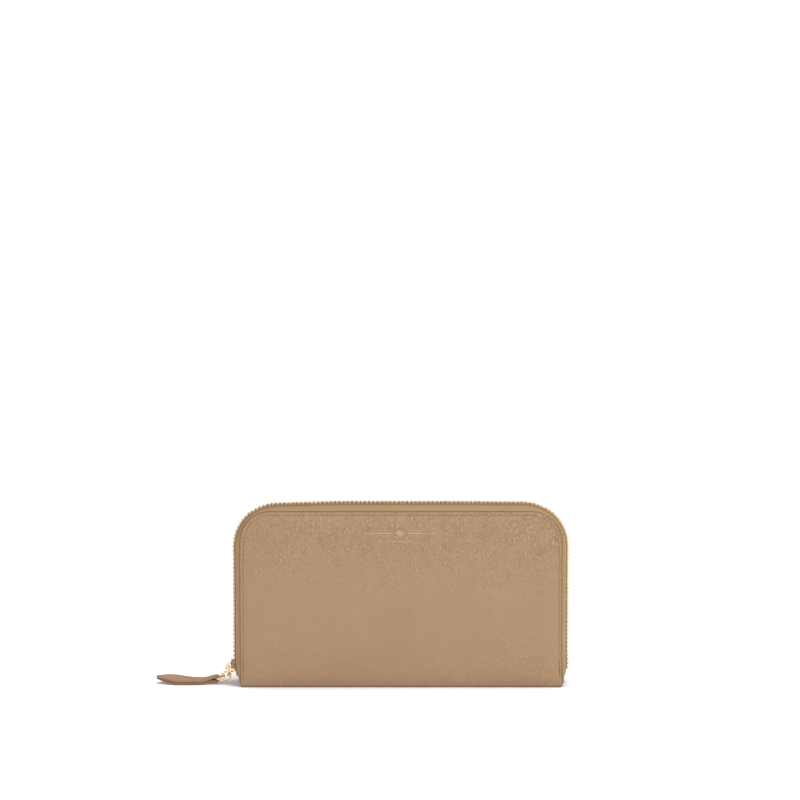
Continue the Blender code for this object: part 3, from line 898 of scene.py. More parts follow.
# %% Facings and tapes
FACING_OUTER = ((-0.7, 11.4), (-0.1, 11.15), (0.2, 11.2), (0.6, 11.5), (1.1, 11.3),
                (1.65, 10.4), (2.05, 8.9), (2.35, 7.2), (2.6, 5.7), (2.72, 4.9))
FACING_ROLL = ((2.68, 4.5), (2.45, 4.25), (2.15, 4.35), (2.0, 4.8))
FACING_INNER = ((1.75, 5.8), (1.5, 7.0), (1.15, 8.5), (0.75, 9.8), (0.3, 10.4),
                (-0.2, 10.5), (-0.7, 10.6))
TAPE_OUTER = ((0.9, 7.6), (1.15, 6.4), (1.3, 5.4), (1.6, 4.6), (2.15, 3.9), (2.85, 3.2),
              (3.4, 2.6), (3.62, 1.9), (3.66, 1.2), (3.58, 0.6))
TAPE_INNER = ((3.25, 0.6), (3.2, 1.4), (3.1, 2.4), (2.5, 2.95), (1.85, 3.5), (1.25, 4.2),
              (0.92, 5.1), (0.72, 6.2), (0.45, 7.4))
FACING_LOW = 1.2 * MM
TAPE_LOW = 4.2 * MM


def profile_for(side, *parts):
    return [(out * MM, side * y * MM) for part in parts for out, y in part]


rims = {}
for side in (-1, 1):
    facing = rim_sweep(cover_names[side] + "_rolled_facing",
                       profile_for(side, FACING_OUTER, FACING_ROLL, FACING_INNER),
                       FACING_LOW, FACING_LOW, edge_leather, waves=0.10 * MM, seed=side)
    subdivide(facing)
    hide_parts(cover_names[side] + "_zip_facing")
    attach(facing, cover_bodies[side])
    tape = rim_sweep(cover_names[side] + "_woven_tape", profile_for(side, TAPE_OUTER, TAPE_INNER),
                     TAPE_LOW, TAPE_LOW, tape_cloth, waves=0.03 * MM, seed=3 + side)
    subdivide(tape)
    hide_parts(cover_names[side] + "_zip_tape")
    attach(tape, cover_bodies[side])
    rims[side] = (facing, tape)
print("facings and tapes:", [len(p.data.polygons) for pair in rims.values() for p in pair], "faces")

# %% [markdown]
# ## Zip teeth and stitches, set in a row
# Teeth and stitches repeat, so one node tree sets a small shape at even steps along a line and
# turns it to face outwards. Each tooth has a foot clamped on the tape and a narrower nose. The
# two rows are half a step apart, and a narrow slot is left between them for the slider's post.

# %% The tree that sets a shape in a row
def make_row_tree():
    tree = bpy.data.node_groups.new("set_in_row", "GeometryNodeTree")
    sockets = {}
    wanted = (("Line", "NodeSocketGeometry"), ("Pitch", "NodeSocketFloat"),
              ("Shape", "NodeSocketObject"), ("Finish", "NodeSocketMaterial"))
    for label, kind in wanted:
        socket = tree.interface.new_socket(name=label, in_out="INPUT", socket_type=kind)
        sockets[label] = socket.identifier
    tree.interface.new_socket(name="Pieces", in_out="OUTPUT", socket_type="NodeSocketGeometry")
    given = tree.nodes.new("NodeGroupInput")
    result = tree.nodes.new("NodeGroupOutput")
    curve = node(tree, "GeometryNodeMeshToCurve", None, {"Mesh": given.outputs["Line"]})
    even = node(tree, "GeometryNodeResampleCurve", None,
                {"Curve": curve.outputs[0], "Length": given.outputs["Pitch"]}, mode="LENGTH")
    outward = node(tree, "GeometryNodeInputNamedAttribute", {"Name": "outward"},
                   data_type="FLOAT_VECTOR")
    tangent = node(tree, "GeometryNodeInputTangent")
    stand = node(tree, "FunctionNodeAlignRotationToVector", None,
                 {"Vector": outward.outputs["Attribute"]}, axis="Z")
    turn = node(tree, "FunctionNodeAlignRotationToVector", None,
                {"Rotation": stand.outputs[0], "Vector": tangent.outputs[0]},
                axis="X", pivot_axis="Z")
    shape = node(tree, "GeometryNodeObjectInfo", None, {"Object": given.outputs["Shape"]})
    placed = node(tree, "GeometryNodeInstanceOnPoints", None,
                  {"Points": even.outputs[0], "Instance": shape.outputs["Geometry"],
                   "Rotation": turn.outputs[0]})
    solid = node(tree, "GeometryNodeRealizeInstances", None, {"Geometry": placed.outputs[0]})
    finish = node(tree, "GeometryNodeSetMaterial", None,
                  {"Geometry": solid.outputs[0], "Material": given.outputs["Finish"]})
    tree.links.new(finish.outputs[0], result.inputs[0])
    return tree, sockets


row_tree, row_sockets = make_row_tree()


def set_in_row(name, line, outward, pitch, shape, material):
    """Copies of a shape along a line of points; outward is one vector, or one for each point."""
    mesh = bpy.data.meshes.new(name)
    mesh.from_pydata([tuple(p) for p in line], [(i, i + 1) for i in range(len(line) - 1)], [])
    facing_way = mesh.attributes.new("outward", "FLOAT_VECTOR", "POINT")
    for i in range(len(line)):
        facing_way.data[i].vector = outward if isinstance(outward, tuple) else outward[i]
    piece = bpy.data.objects.new(name, mesh)
    bpy.context.scene.collection.objects.link(piece)
    row = piece.modifiers.new("row", "NODES")
    row.node_group = row_tree
    row[row_sockets["Pitch"]] = pitch
    row[row_sockets["Shape"]] = shape
    row[row_sockets["Finish"]] = material
    settle(piece)
    return piece


print("row tree has", len(row_tree.nodes), "nodes")

# %% [markdown]
# The small shapes are made once. They have only a few dozen faces each, because a zip repeats
# them about 150 times. A tooth is a row of eight-sided rings from its foot to its nose. A stitch
# is a short bead of thread whose ends dive into the leather.

# %% A tooth and two stitches
TOOTH_RINGS = ((2.5, 0.42, 0.60), (2.35, 0.56, 0.84), (1.2, 0.56, 0.88), (0.8, 0.46, 0.80),
               (0.4, 0.48, 0.80), (0.22, 0.46, 0.68), (0.16, 0.34, 0.50))
CUT_CORNERS = ((1, 1, 1, 0.7), (1, 1, 0.7, 1), (-1, 1, 0.7, 1), (-1, 1, 1, 0.7),
               (-1, -1, 1, 0.7), (-1, -1, 0.7, 1), (1, -1, 0.7, 1), (1, -1, 1, 0.7))
STITCH_RINGS = ((-0.80, -0.24, 0.06, 0.06), (-0.62, -0.08, 0.17, 0.15), (-0.25, 0.02, 0.21, 0.17),
                (0.25, 0.02, 0.21, 0.17), (0.62, -0.08, 0.17, 0.15), (0.80, -0.24, 0.06, 0.06))
FINE_STITCH_RINGS = ((-0.68, -0.14, 0.04, 0.04), (-0.5, -0.04, 0.11, 0.09), (0.0, 0.02, 0.14, 0.11),
                     (0.5, -0.04, 0.11, 0.09), (0.68, -0.14, 0.04, 0.04))


def ring_shape(name, rings, sides=6):
    """A small closed shape from rings (x, z, half y, half z) along x."""
    turns = [2 * math.pi * (k + 0.5) / sides for k in range(sides)]
    rows = []
    for x, z, half_y, half_z in rings:
        rows.append([(x * MM, half_y * MM * math.cos(turn), (z + half_z * math.sin(turn)) * MM)
                     for turn in turns])
    return make_piece(name, *loft(rows), thread, smooth_deg=70)


def tooth_shape(name, size=1.0):
    """A tooth that points down local -Z, from its foot on the tape to its nose."""
    rows = []
    for z, half_x, half_y in TOOTH_RINGS:
        rows.append([(sx * half_x * cut_x * size * MM, sy * half_y * cut_y * size * MM, z * size * MM)
                     for sx, sy, cut_x, cut_y in CUT_CORNERS])
    return make_piece(name, *loft(rows), zip_gold, smooth_deg=40)


tooth = tooth_shape("tooth")
coin_tooth = tooth_shape("coin_tooth", 0.68)
stitch = ring_shape("stitch", STITCH_RINGS)
fine_stitch = ring_shape("fine_stitch", FINE_STITCH_RINGS)
print("tooth and stitch:", len(tooth.data.polygons), len(stitch.data.polygons), "faces")

# %% [markdown]
# Each cover carries one row of teeth on its tape's edge and one seam along its facing. The back
# row starts and ends half a step further on, so that its teeth stand between the front ones.

# %% Teeth and seams along the rim
TEETH_PITCH = 2.4 * MM
STITCH_PITCH = 2.3 * MM
TEETH_MIDDLE_OUT = 3.75 * MM
TEETH_START_Z = 9.5 * MM
TEETH_END_Z = 10 * MM
SEAM_OUT = 2.50 * MM
SEAM_DEPTH = 5.9 * MM


def on_cover(piece, side):
    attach(piece, cover_bodies[side])
    return piece


for side in (-1, 1):
    shift = TEETH_PITCH / 2 if side > 0 else 0
    path = rim_line(TEETH_MIDDLE_OUT, TEETH_START_Z + shift, TEETH_END_Z - shift, 0.8 * MM)
    line = [(x, 0.0, z) for (x, z), _ in path]
    teeth = set_in_row(cover_names[side] + "_teeth_row", line, (0.0, float(side), 0.0),
                       TEETH_PITCH, tooth, zip_gold)
    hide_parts(cover_names[side] + "_zip_teeth")
    on_cover(teeth, side)

    seam = rim_line(SEAM_OUT, 7 * MM, 4 * MM)
    line = [(x, side * SEAM_DEPTH, z) for (x, z), _ in seam]
    outward = [(way[0], side * 0.25, way[1]) for _, way in seam]
    on_cover(set_in_row(cover_names[side] + "_facing_seam", line, outward,
                        STITCH_PITCH, stitch, thread), side)
row_faces = len(bpy.data.objects["front_teeth_row"].data.polygons)
print("teeth in the front row:", row_faces // len(tooth.data.polygons))

# %% [markdown]
# The panel's seam runs 2.2 mm inside its turned edge. At its lower ends the machine went back
# and forth over the same few millimetres, which leaves a short, thick, darker tack.

# %% Seams of the two panels
SEAM_LOW_Z = 10.5 * MM
TACK_LENGTH = 4.2 * MM
TACK_PITCH = 0.9 * MM
TACK_RAISE = 0.08 * MM


def panel_loop(inset, z_low):
    """Points (x, z) inside a panel's edge, up the left, over the top and down the right."""
    half = EDGE_X - inset
    top = EDGE_TOP - inset
    radius = PANEL_R - inset
    rows = [z_low + (EDGE_TOP - PANEL_R - z_low) * i / 8 for i in range(8)]
    loop = [(-half, z) for z in rows]
    for i in range(13):
        turn = math.pi * (1 - i / 24)
        loop.append((-half + radius + radius * math.cos(turn),
                     top - radius + radius * math.sin(turn)))
    for i in range(13):
        turn = math.pi / 2 * (1 - i / 12)
        loop.append((half - radius + radius * math.cos(turn),
                     top - radius + radius * math.sin(turn)))
    return loop + [(half, z) for z in reversed(rows)]


def panel_y(side, dip):
    return side * (FACE_Y - dip)


for side in (-1, 1):
    dip = edge_dip(STITCH_IN) - 0.03 * MM
    out_of_panel = (0.0, float(side), 0.0)
    line = [(taper(x, z + SHEET_RISE), panel_y(side, dip), z)
            for x, z in panel_loop(STITCH_IN, SEAM_LOW_Z)]
    on_cover(set_in_row(cover_names[side] + "_panel_seam", line, out_of_panel,
                        STITCH_PITCH, stitch, thread), side)
    for end in (-1, 1):
        x = taper(end * (EDGE_X - STITCH_IN), SEAM_LOW_Z + SHEET_RISE)
        line = [(x, panel_y(side, dip - TACK_RAISE), SEAM_LOW_Z - 0.4 * MM + TACK_LENGTH * k / 4)
                for k in range(5)]
        on_cover(set_in_row(cover_names[side] + "_tack_" + ("left" if end < 0 else "right"), line,
                            out_of_panel, TACK_PITCH, stitch, edge_paint), side)
print("panel seams made")

# %% [markdown]
# ## Metal parts
# The slider has two shield-shaped plates with turned-in edges and a thin post between them. A
# bridge stands on the outer plate. The link, the ring and the tab's own ring are bent from wire.
# The plates' edges are rounded with a bevel, because a sharp edge never catches the light.

# %% Helpers for metal
def join_shapes(shapes):
    """Several (points, faces) shapes as one list of each."""
    points = []
    faces = []
    for shape_points, shape_faces in shapes:
        start = len(points)
        points += shape_points
        faces += [tuple(start + k for k in f) for f in shape_faces]
    return points, faces


def make_bevelled(name, shapes, material, bevel, segments=2):
    piece = make_piece(name, *join_shapes(shapes), material, smooth_deg=180)
    step = piece.modifiers.new("bevel", "BEVEL")
    step.width = bevel
    step.segments = segments
    step.limit_method = "ANGLE"
    step.angle_limit = math.radians(32)
    settle(piece)
    piece.data.shade_smooth()
    piece.data.set_sharp_from_angle(angle=math.radians(48))
    return piece


def prism(outline, low, high, put):
    """An outline (a, b) given a thickness from low to high; put turns (a, b, c) into a place."""
    return loft([[put(a, b, c) for a, b in outline] for c in (low, high)])


def mirrored(half_outline):
    """A closed outline from its points with b > 0."""
    return half_outline + [(a, -b) for a, b in reversed(half_outline)]


def wire(path, radius, sides=12):
    """Round wire along a closed plane path."""
    pts = [Vector(p) for p in path]
    normal = Vector((0, 0, 0))
    for i, p in enumerate(pts):
        normal += (p - pts[0]).cross(pts[(i + 1) % len(pts)] - pts[0])
    normal.normalize()
    turns = [2 * math.pi * k / sides for k in range(sides)]
    rows = []
    for i, p in enumerate(pts):
        along = pts[(i + 1) % len(pts)] - pts[i - 1]
        across = along.cross(normal).normalized()
        rows.append([tuple(p + radius * (math.cos(turn) * across + math.sin(turn) * normal))
                     for turn in turns])
    return loft(rows, closed_rows=True)


def squared_loop(start, end, half_width, corner, steps=6):
    """A loop with round corners, and bars along Y at its start and end."""
    start = Vector(start)
    end = Vector(end)
    along = (end - start).normalized()
    reach = (end - start).length / 2
    middle = (start + end) / 2
    path = []
    for a_sign, w_sign, first in ((1, -1, -90), (1, 1, 0), (-1, 1, 90), (-1, -1, 180)):
        for i in range(steps + 1):
            turn = math.radians(first + 90 * i / steps)
            a = a_sign * (reach - corner) + corner * math.cos(turn)
            w = w_sign * (half_width - corner) + corner * math.sin(turn)
            path.append(middle + a * along + Vector((0, w, 0)))
    return path


print("metal helpers ready")

# %% [markdown]
# A slider clasps both rows of teeth between its plates. The outer plate is shield-shaped, wide
# where the rows come in apart and narrow where they leave closed. Its edges turn inwards to hold
# the tapes, and a thin post joins the plates between the rows. The same function makes the small
# slider of the coin zip from other sizes. Outlines are in mm, along the zip and across it.

# %% Shapes of a zip slider
SHIELD = ((-3.4, 1.1), (-3.28, 2.3), (-2.85, 3.25), (-2.0, 3.8), (-1.0, 3.9), (0.4, 3.6),
          (1.8, 3.2), (3.3, 3.05), (3.9, 2.6), (4.0, 1.2))
POST = ((-3.3, 0.06), (-2.9, 0.14), (-2.0, 0.14), (-1.6, 0.06))
BRIDGE_ARCH = ((-1.95, -0.5), (-1.8, 1.2), (-1.05, 2.45), (0.0, 2.62), (1.3, 2.45),
               (2.15, 1.2), (2.35, -0.5))
BRIDGE_HALF_THICK = 0.40
BRIDGE_SIDES = 12


def rounded_square(turn):
    """Cosine and sine of a turn, pushed out towards a square with round corners."""
    return [math.copysign(abs(v) ** 0.6, v) for v in (math.cos(turn), math.sin(turn))]


def slider_shapes(put, size):
    """Plates, lips and post, and the bridge; put takes (along the zip, across, outward)."""
    shield = list(SHIELD)
    shapes = [prism(mirrored(shield), size["top_low"], size["top_low"] + size["plate"], put)]
    inner = [(a, w * size["inner_share"]) for a, w in shield]
    shapes.append(prism(mirrored(inner), size["bottom_low"], size["bottom_low"] + size["plate"], put))
    for sign in (-1, 1):
        strip = [(a, w) for a, w in shield[2:8]]
        lip = [(a, sign * w) for a, w in strip] + [(a, sign * (w - 0.36)) for a, w in reversed(strip)]
        shapes.append(prism(lip, size["top_low"] - size["lip"], size["top_low"] + 0.4 * size["plate"], put))
        strip = [(a, w * size["inner_share"]) for a, w in shield[2:8]]
        lip = [(a, sign * w) for a, w in strip] + [(a, sign * (w - 0.5)) for a, w in reversed(strip)]
        high = size["bottom_low"] + size["plate"]
        shapes.append(prism(lip, high - 0.4 * size["plate"], high + size["inner_lip"], put))
    shapes.append(prism(mirrored(list(POST)), size["bottom_low"] + 0.3, size["top_low"] + 0.3, put))
    face = size["top_low"] + size["plate"]
    shift = size["bridge_shift"]
    arch = smooth_line([(shift + a, face + o) for a, o in BRIDGE_ARCH], 5)
    rows = []
    for i, point in enumerate(arch):
        ahead = arch[min(i + 1, len(arch) - 1)]
        behind = arch[max(i - 1, 0)]
        along = (ahead - behind) / np.linalg.norm(ahead - behind)
        off = np.array((-along[1], along[0])) * BRIDGE_HALF_THICK
        half = 0.72 + 0.42 * abs(point[0] - shift) / BRIDGE_ARCH[-1][0]
        row = []
        for k in range(BRIDGE_SIDES):
            across, up = rounded_square(2 * math.pi * (k + 0.5) / BRIDGE_SIDES)
            spot = point + off * up
            row.append(put(spot[0], half * across, spot[1]))
        rows.append(row)
    return shapes, loft(rows)


def join_into(name, pieces):
    """Pieces with one material become one piece."""
    shapes = []
    shared = pieces[0].data.materials[0]
    for piece in pieces:
        mesh = piece.data
        shapes.append(([tuple(v.co) for v in mesh.vertices],
                       [tuple(f.vertices) for f in mesh.polygons]))
        bpy.data.objects.remove(piece)
    return make_piece(name, *join_shapes(shapes), shared, smooth_deg=48)


print("slider's plate is", SHIELD[-1][0] - SHIELD[0][0], "mm long")

# %% [markdown]
# The zip's slider is parked low at the left side. Its sizes are in mm: the heights of both plates
# above the leather's edge, their thickness, the inner plate's share of the width and the depth of
# the lips. Below it each tape ends in a metal stop, crimped on so that the slider can't run off.

# %% The zip's slider and stops
SLIDER_SIZE = {"top_low": 4.9, "plate": 1.05, "bottom_low": 1.6, "inner_share": 0.62,
               "lip": 0.9, "inner_lip": 0.2, "bridge_shift": -0.55}
slider_low, slider_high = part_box("zip_slider")
SLIDER_Z = (slider_low.z + slider_high.z) / 2


def put_slider(a, w, o):
    return (-EDGE_X - o * MM, w * MM, SLIDER_Z + (0.96 * a - 0.7) * MM)


plates, bridge = slider_shapes(put_slider, SLIDER_SIZE)
slider = join_into("shaped_slider", [make_bevelled("plates", plates, gold, 0.16 * MM),
                                     make_piece("bridge", *bridge, gold)])
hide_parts("zip_slider")
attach(slider, "main_slider")

for side in (-1, 1):
    low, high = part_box(cover_names[side] + "_zip_stop")
    corners = ((low.x, low.y), (high.x, low.y), (high.x, high.y), (low.x, high.y))
    ends = [[(-EDGE_X + tuck(x, z) * (x + EDGE_X), y, z) for x, y in corners]
            for z in (low.z, high.z)]
    stop = make_bevelled(cover_names[side] + "_crimped_stop", [loft(ends)], zip_gold, 0.35 * MM, 3)
    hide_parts(cover_names[side] + "_zip_stop")
    on_cover(stop, side)
print("slider faces:", len(slider.data.polygons))

# %% [markdown]
# A small link hangs on the bridge, a round ring on the link, and the tab's own wide loop on the
# ring. Each is closed wire. Their places are in mm and sit where the joints of the frame turn, so
# that each loop turns about the wire which it hangs on.

# %% Link, ring and the tab's ring
WIRE_R = 0.55 * MM
LINK_TOP = Vector((-97.5, 0, 10.1)) * MM
LINK_END = Vector((-97.884, 0, 4.613)) * MM
RING_CENTRE = Vector((-99.0, 0, 4.335)) * MM
RING_R = 2.4 * MM
TAB_PIN = Vector((-100.115, 0, 4.057)) * MM
TAB_BAR = Vector((-104.4, 0, 2.75)) * MM


def hang(piece, node_name, body):
    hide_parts(node_name)
    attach(piece, body)
    return piece


link_path = squared_loop(LINK_TOP, LINK_END, 2.05 * MM, 1.25 * MM)
link = make_piece("smooth_link", *wire(link_path, WIRE_R), gold)
hang(link, "pull_link", "slider_link")
circle = [RING_CENTRE + RING_R * Vector((math.cos(math.pi * i / 20), 0, math.sin(math.pi * i / 20)))
          for i in range(40)]
ring = make_piece("round_wire_ring", *wire(circle, WIRE_R), gold)
hang(ring, "pull_ring", "round_ring")
tab_path = squared_loop(TAB_PIN, TAB_BAR, 3.45 * MM, 1.5 * MM)
tab_loop = make_piece("tab_wire_loop", *wire(tab_path, WIRE_R), gold)
hang(tab_loop, "tab_ring", "pull_tab")
print("hardware hangs at", [round(v / MM, 2) for v in TAB_PIN])

# %% [markdown]
# ## The leather tab
# One strip is folded round the tab's ring and its two ends are sewn together. It widens from
# the fold, comes to a soft point, lies on the ground in its middle and curls up at its tip. One
# long edge lies lower than the other, as a strip that was bent by hand does. Its cut edges are
# painted darker.

# %% Shape the tab
TAB_TIP_X = -138.6 * MM
TAB_LAYER = 1.15 * MM
TAB_GAP = 0.12 * MM
TAB_CURL = 2.35 * MM
TAB_BEND_R = WIRE_R + 0.12 * MM + TAB_LAYER / 2
TAB_SEAM_IN = 1.35 * MM


def tab_half_width(share):
    body = (2.9 + 3.5 * math.sin(0.5 * math.pi * min(1.0, share / 0.4))) * MM
    tip = max(0.0, (share - 0.66) / 0.34)
    return body * max(0.16, 1 - tip ** 1.7 * 0.84)


def tab_rise(share, y):
    curl = TAB_CURL * (max(0.0, share - 0.42) / 0.58) ** 1.25
    tilt = 0.11 * y * ease(0.3, 0.7, share)
    return max(0.0, curl + tilt)


def tab_middle(share, layer):
    """Place (x, z) of a layer's middle, before the curl; layer is -1 below and 1 above."""
    x = TAB_BAR.x + (TAB_TIP_X - TAB_BAR.x) * share
    away = TAB_BAR.x - x
    flat = (TAB_LAYER + TAB_GAP) / 2
    spread = TAB_BEND_R + (flat - TAB_BEND_R) * ease(0, 5.5 * MM, away)
    base = TAB_LAYER + TAB_GAP / 2
    middle = base + (TAB_BAR.z - base) * (1 - ease(0, 8.5 * MM, away))
    thin = 1 - 0.30 * ease(0.75, 1.0, share)
    return x, middle + layer * spread * thin


def tab_line(steps=44, bend_steps=14):
    """The strip's middle line (x, z, share): below from the tip, round the bar, above to the tip."""
    line = []
    for i in range(steps, -1, -1):
        x, z = tab_middle(i / steps, -1)
        line.append((x, z, i / steps))
    for i in range(1, bend_steps):
        turn = math.radians(-90 + 180 * i / bend_steps)
        line.append((TAB_BAR.x + TAB_BEND_R * math.cos(turn),
                     TAB_BAR.z + TAB_BEND_R * math.sin(turn), 0.0))
    for i in range(steps + 1):
        x, z = tab_middle(i / steps, 1)
        line.append((x, z, i / steps))
    return line


LOWER_RING = [(-1.0, -0.22), (-0.985, -0.40), (-0.93, -0.49), (-0.80, -0.5), (-0.4, -0.5),
              (0.0, -0.5), (0.4, -0.5), (0.80, -0.5), (0.93, -0.49), (0.985, -0.40), (1.0, -0.22)]
EDGE_RING = LOWER_RING + [(-w, -t) for w, t in LOWER_RING]


def make_tab():
    line = tab_line()
    rows = []
    edge = []
    for i, (x, z, share) in enumerate(line):
        ahead = line[min(i + 1, len(line) - 1)]
        behind = line[max(i - 1, 0)]
        along = Vector((ahead[0] - behind[0], 0, ahead[1] - behind[1])).normalized()
        off = Vector((-along.z, 0, along.x))
        half = tab_half_width(share)
        thick = TAB_LAYER * (1 - 0.28 * ease(0.75, 1.0, share))
        row = []
        for w, t in EDGE_RING:
            y = w * half
            sink = 0.16 * MM * math.exp(-((half - abs(y) - TAB_SEAM_IN) / (0.35 * MM)) ** 2)
            depth = t * (thick - 2 * sink * (1 if abs(t) > 0.45 else 0))
            spot = Vector((x, y, z + tab_rise(share, y))) + off * depth
            row.append((spot.x, spot.y, max(spot.z, 0.02 * MM)))
            edge.append(1.0 if abs(w) > 0.98 else 0.0)
        rows.append(row)
    piece = make_piece("folded_tab", *loft(rows), tab_leather, smooth_deg=70)
    paint = piece.data.attributes.new("edge", "FLOAT", "POINT")
    paint.data.foreach_set("value", edge)
    return piece


tab = make_tab()
hang(tab, "tab_leather", "pull_tab")
print("tab: half width", round(tab_half_width(0.5) / MM, 1), "mm")

# %% [markdown]
# One seam goes round the tab, a little inside its edge, and holds the two layers together. It
# follows the same middle line and the same curl as the leather.

# %% The tab's seam
SEAM_POINTS = 40
outline = []
for sign in (-1, 1):
    for i in range(SEAM_POINTS + 1):
        share = 0.14 + 0.80 * (i / SEAM_POINTS if sign < 0 else 1 - i / SEAM_POINTS)
        half = max(0.3 * MM, tab_half_width(share) - TAB_SEAM_IN)
        x, z = tab_middle(share, 1)
        y = sign * half
        outline.append((x, y, z + tab_rise(share, y) + TAB_LAYER / 2 - 0.10 * MM))
tab_seam = set_in_row("tab_seam", outline, (0.0, 0.0, 1.0), 2.0 * MM, stitch, thread)
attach(tab_seam, "pull_tab")
print("tab seam faces:", len(tab_seam.data.polygons))

# %% [markdown]
# ## Inside the covers
# Each cover is lined with cloth and carries three leather pockets in steps, each two cards wide.
# A pocket is a thin sheet with a turned hem along its top, a seam down the middle and a slight
# bulge on each side of that seam, where the cards go. All sheets are made by one function.

# %% Thin sheets with round upper corners
def spread(low, high, count):
    return [low + (high - low) * i / count for i in range(count + 1)]


def make_sheet(name, half, low, top, radius, depth, thick, material, columns=60):
    """An upright sheet; depth(x, z) is the y of its face, thick(x, z) the step to its back."""
    bend = [top - radius + radius * math.sin(math.pi / 2 * k / 8) for k in range(9)]
    heights = spread(low, top - radius, 18)[:-1] + bend[:-1] + [top - 0.004 * radius]
    fractions = sorted(set([round(math.sin(math.pi / 2 * f), 5) for f in spread(-1, 1, columns)]
                           + [-0.03, -0.012, 0.0, 0.012, 0.03]))
    front = []
    back = []
    for z in heights:
        over = max(0.0, z - (top - radius))
        reach = half - radius + math.sqrt(max(0.0, radius ** 2 - over ** 2))
        for f in fractions:
            x = f * reach
            y = depth(x, z)
            front.append((x, y, z))
            back.append((x, y + thick(x, z), z))
    wide = len(fractions)
    count = len(front)
    faces = []
    for j in range(len(heights) - 1):
        for i in range(wide - 1):
            a = j * wide + i
            faces.append((a, a + 1, a + wide + 1, a + wide))
            faces.append((count + a, count + a + wide, count + a + wide + 1, count + a + 1))
    border = [i for i in range(wide)] + [j * wide + wide - 1 for j in range(1, len(heights))]
    border += [(len(heights) - 1) * wide + i for i in range(wide - 2, -1, -1)]
    border += [j * wide for j in range(len(heights) - 2, 0, -1)]
    for a, b in zip(border, border[1:] + border[:1]):
        faces.append((a, count + a, count + b, b))
    return make_piece(name, front + back, faces, material, smooth_deg=45)


print("sheet maker ready")

# %% [markdown]
# The lining is plain cloth with a faint unevenness. The pockets lie in steps, the highest at the
# back. Two seams are laid on each: along the hem, and down the middle between the cards.
# The stiffener boards inside the covers keep the frame's own shape and only get their finish.

# %% Linings and card pockets
HEM = 4.0 * MM
HEM_SEAM_UP = 1 * MM
SHEET_THICK = 0.34 * MM
SEAM_SINK = 0.03 * MM
POCKET_HALF = 84 * MM
MIDDLE_SEAM = 1.2 * MM


def pocket_bulge(x, z, top):
    """How far a pocket's face stands out: two soft bulges, a groove between, a hem on top."""
    beside = ease(1.5 * MM, 14 * MM, abs(x))
    beside *= 1 - ease(POCKET_HALF - 12 * MM, POCKET_HALF - 1 * MM, abs(x))
    below_hem = ease(top - 24 * MM, top - 9 * MM, z)
    bulge = 0.11 * MM * beside * below_hem
    hem = 0.06 * MM * ease(top - HEM, top - HEM + 0.8 * MM, z)
    roll = -0.10 * MM * ease(top - 0.7 * MM, top, z)
    groove = -0.05 * MM * math.exp(-(x / MIDDLE_SEAM) ** 2)
    ripple = 0.03 * MM * noise.noise(Vector((x * 60, z * 60, top * 400)))
    return bulge + hem + roll + groove + ripple


def make_pocket(node_name, side):
    """One tier: its sheet of leather, its hem seam and its middle seam."""
    low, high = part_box(node_name)
    face = low.y if side > 0 else high.y
    top = high.z

    def skin_y(x, z, sink=0.0):
        return face - side * (pocket_bulge(x, z, top) - sink)

    pocket = make_sheet(node_name + "_leather", high.x, low.z, top, 2 * MM, skin_y,
                        lambda x, z: side * (SHEET_THICK + pocket_bulge(x, z, top)), pocket_leather)
    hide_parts(node_name)
    on_cover(pocket, side)
    seam_z = top - HEM + HEM_SEAM_UP
    across = [(x, skin_y(x, seam_z, SEAM_SINK), seam_z)
              for x in spread(-POCKET_HALF + 2 * MM, POCKET_HALF - 2 * MM, 80)]
    down = [(0.0, skin_y(0, z, SEAM_SINK), z) for z in spread(top - 11 * MM, top - 1.5 * MM, 6)]
    for label, line in (("_hem_seam", across), ("_middle_seam", down)):
        seam = set_in_row(node_name + label, line, (0.0, -float(side), 0.0), 2.0 * MM,
                          fine_stitch, thread)
        on_cover(seam, side)


for side in (-1, 1):
    name = cover_names[side]
    low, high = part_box(name + "_lining")
    face = low.y if side > 0 else high.y
    cloth = make_sheet(name + "_twill_lining", high.x, low.z, high.z, PANEL_R - 1.2 * MM,
                       lambda x, z: face + side * 0.04 * MM * noise.noise(Vector((x * 45, z * 45, 2.0))),
                       lambda x, z: side * SHEET_THICK, lining_cloth)
    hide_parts(name + "_lining")
    on_cover(cloth, side)
    for tier in (1, 2, 3):
        make_pocket(name + "_card_pocket_" + str(tier), side)
for label in ("front_board", "back_board", "spine_board"):
    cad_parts[label].data.materials[0] = board_stock
print("pockets and linings made")

# %% [markdown]
# ## The coin pocket and the side gussets
# The coin pocket stands on the spine between the covers. It has two walls of thin leather with a
# seam round their edge, and its own small zip on top. The tapes and teeth are laid straight along
# x, so plain rows of points make them.

# %% Coin pocket walls and zip
COIN_PITCH = 1.6 * MM
COIN_SEAM_IN = 1.6 * MM
COIN_CORNER_IN = 3 * MM
COIN_SEAM_LOW = 8 * MM
coin_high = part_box("coin_front_wall")[1]
COIN_TOP = coin_high.z
COIN_HALF = coin_high.x


def on_core(piece, node_name):
    if node_name:
        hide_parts(node_name)
    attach(piece, "core")
    return piece


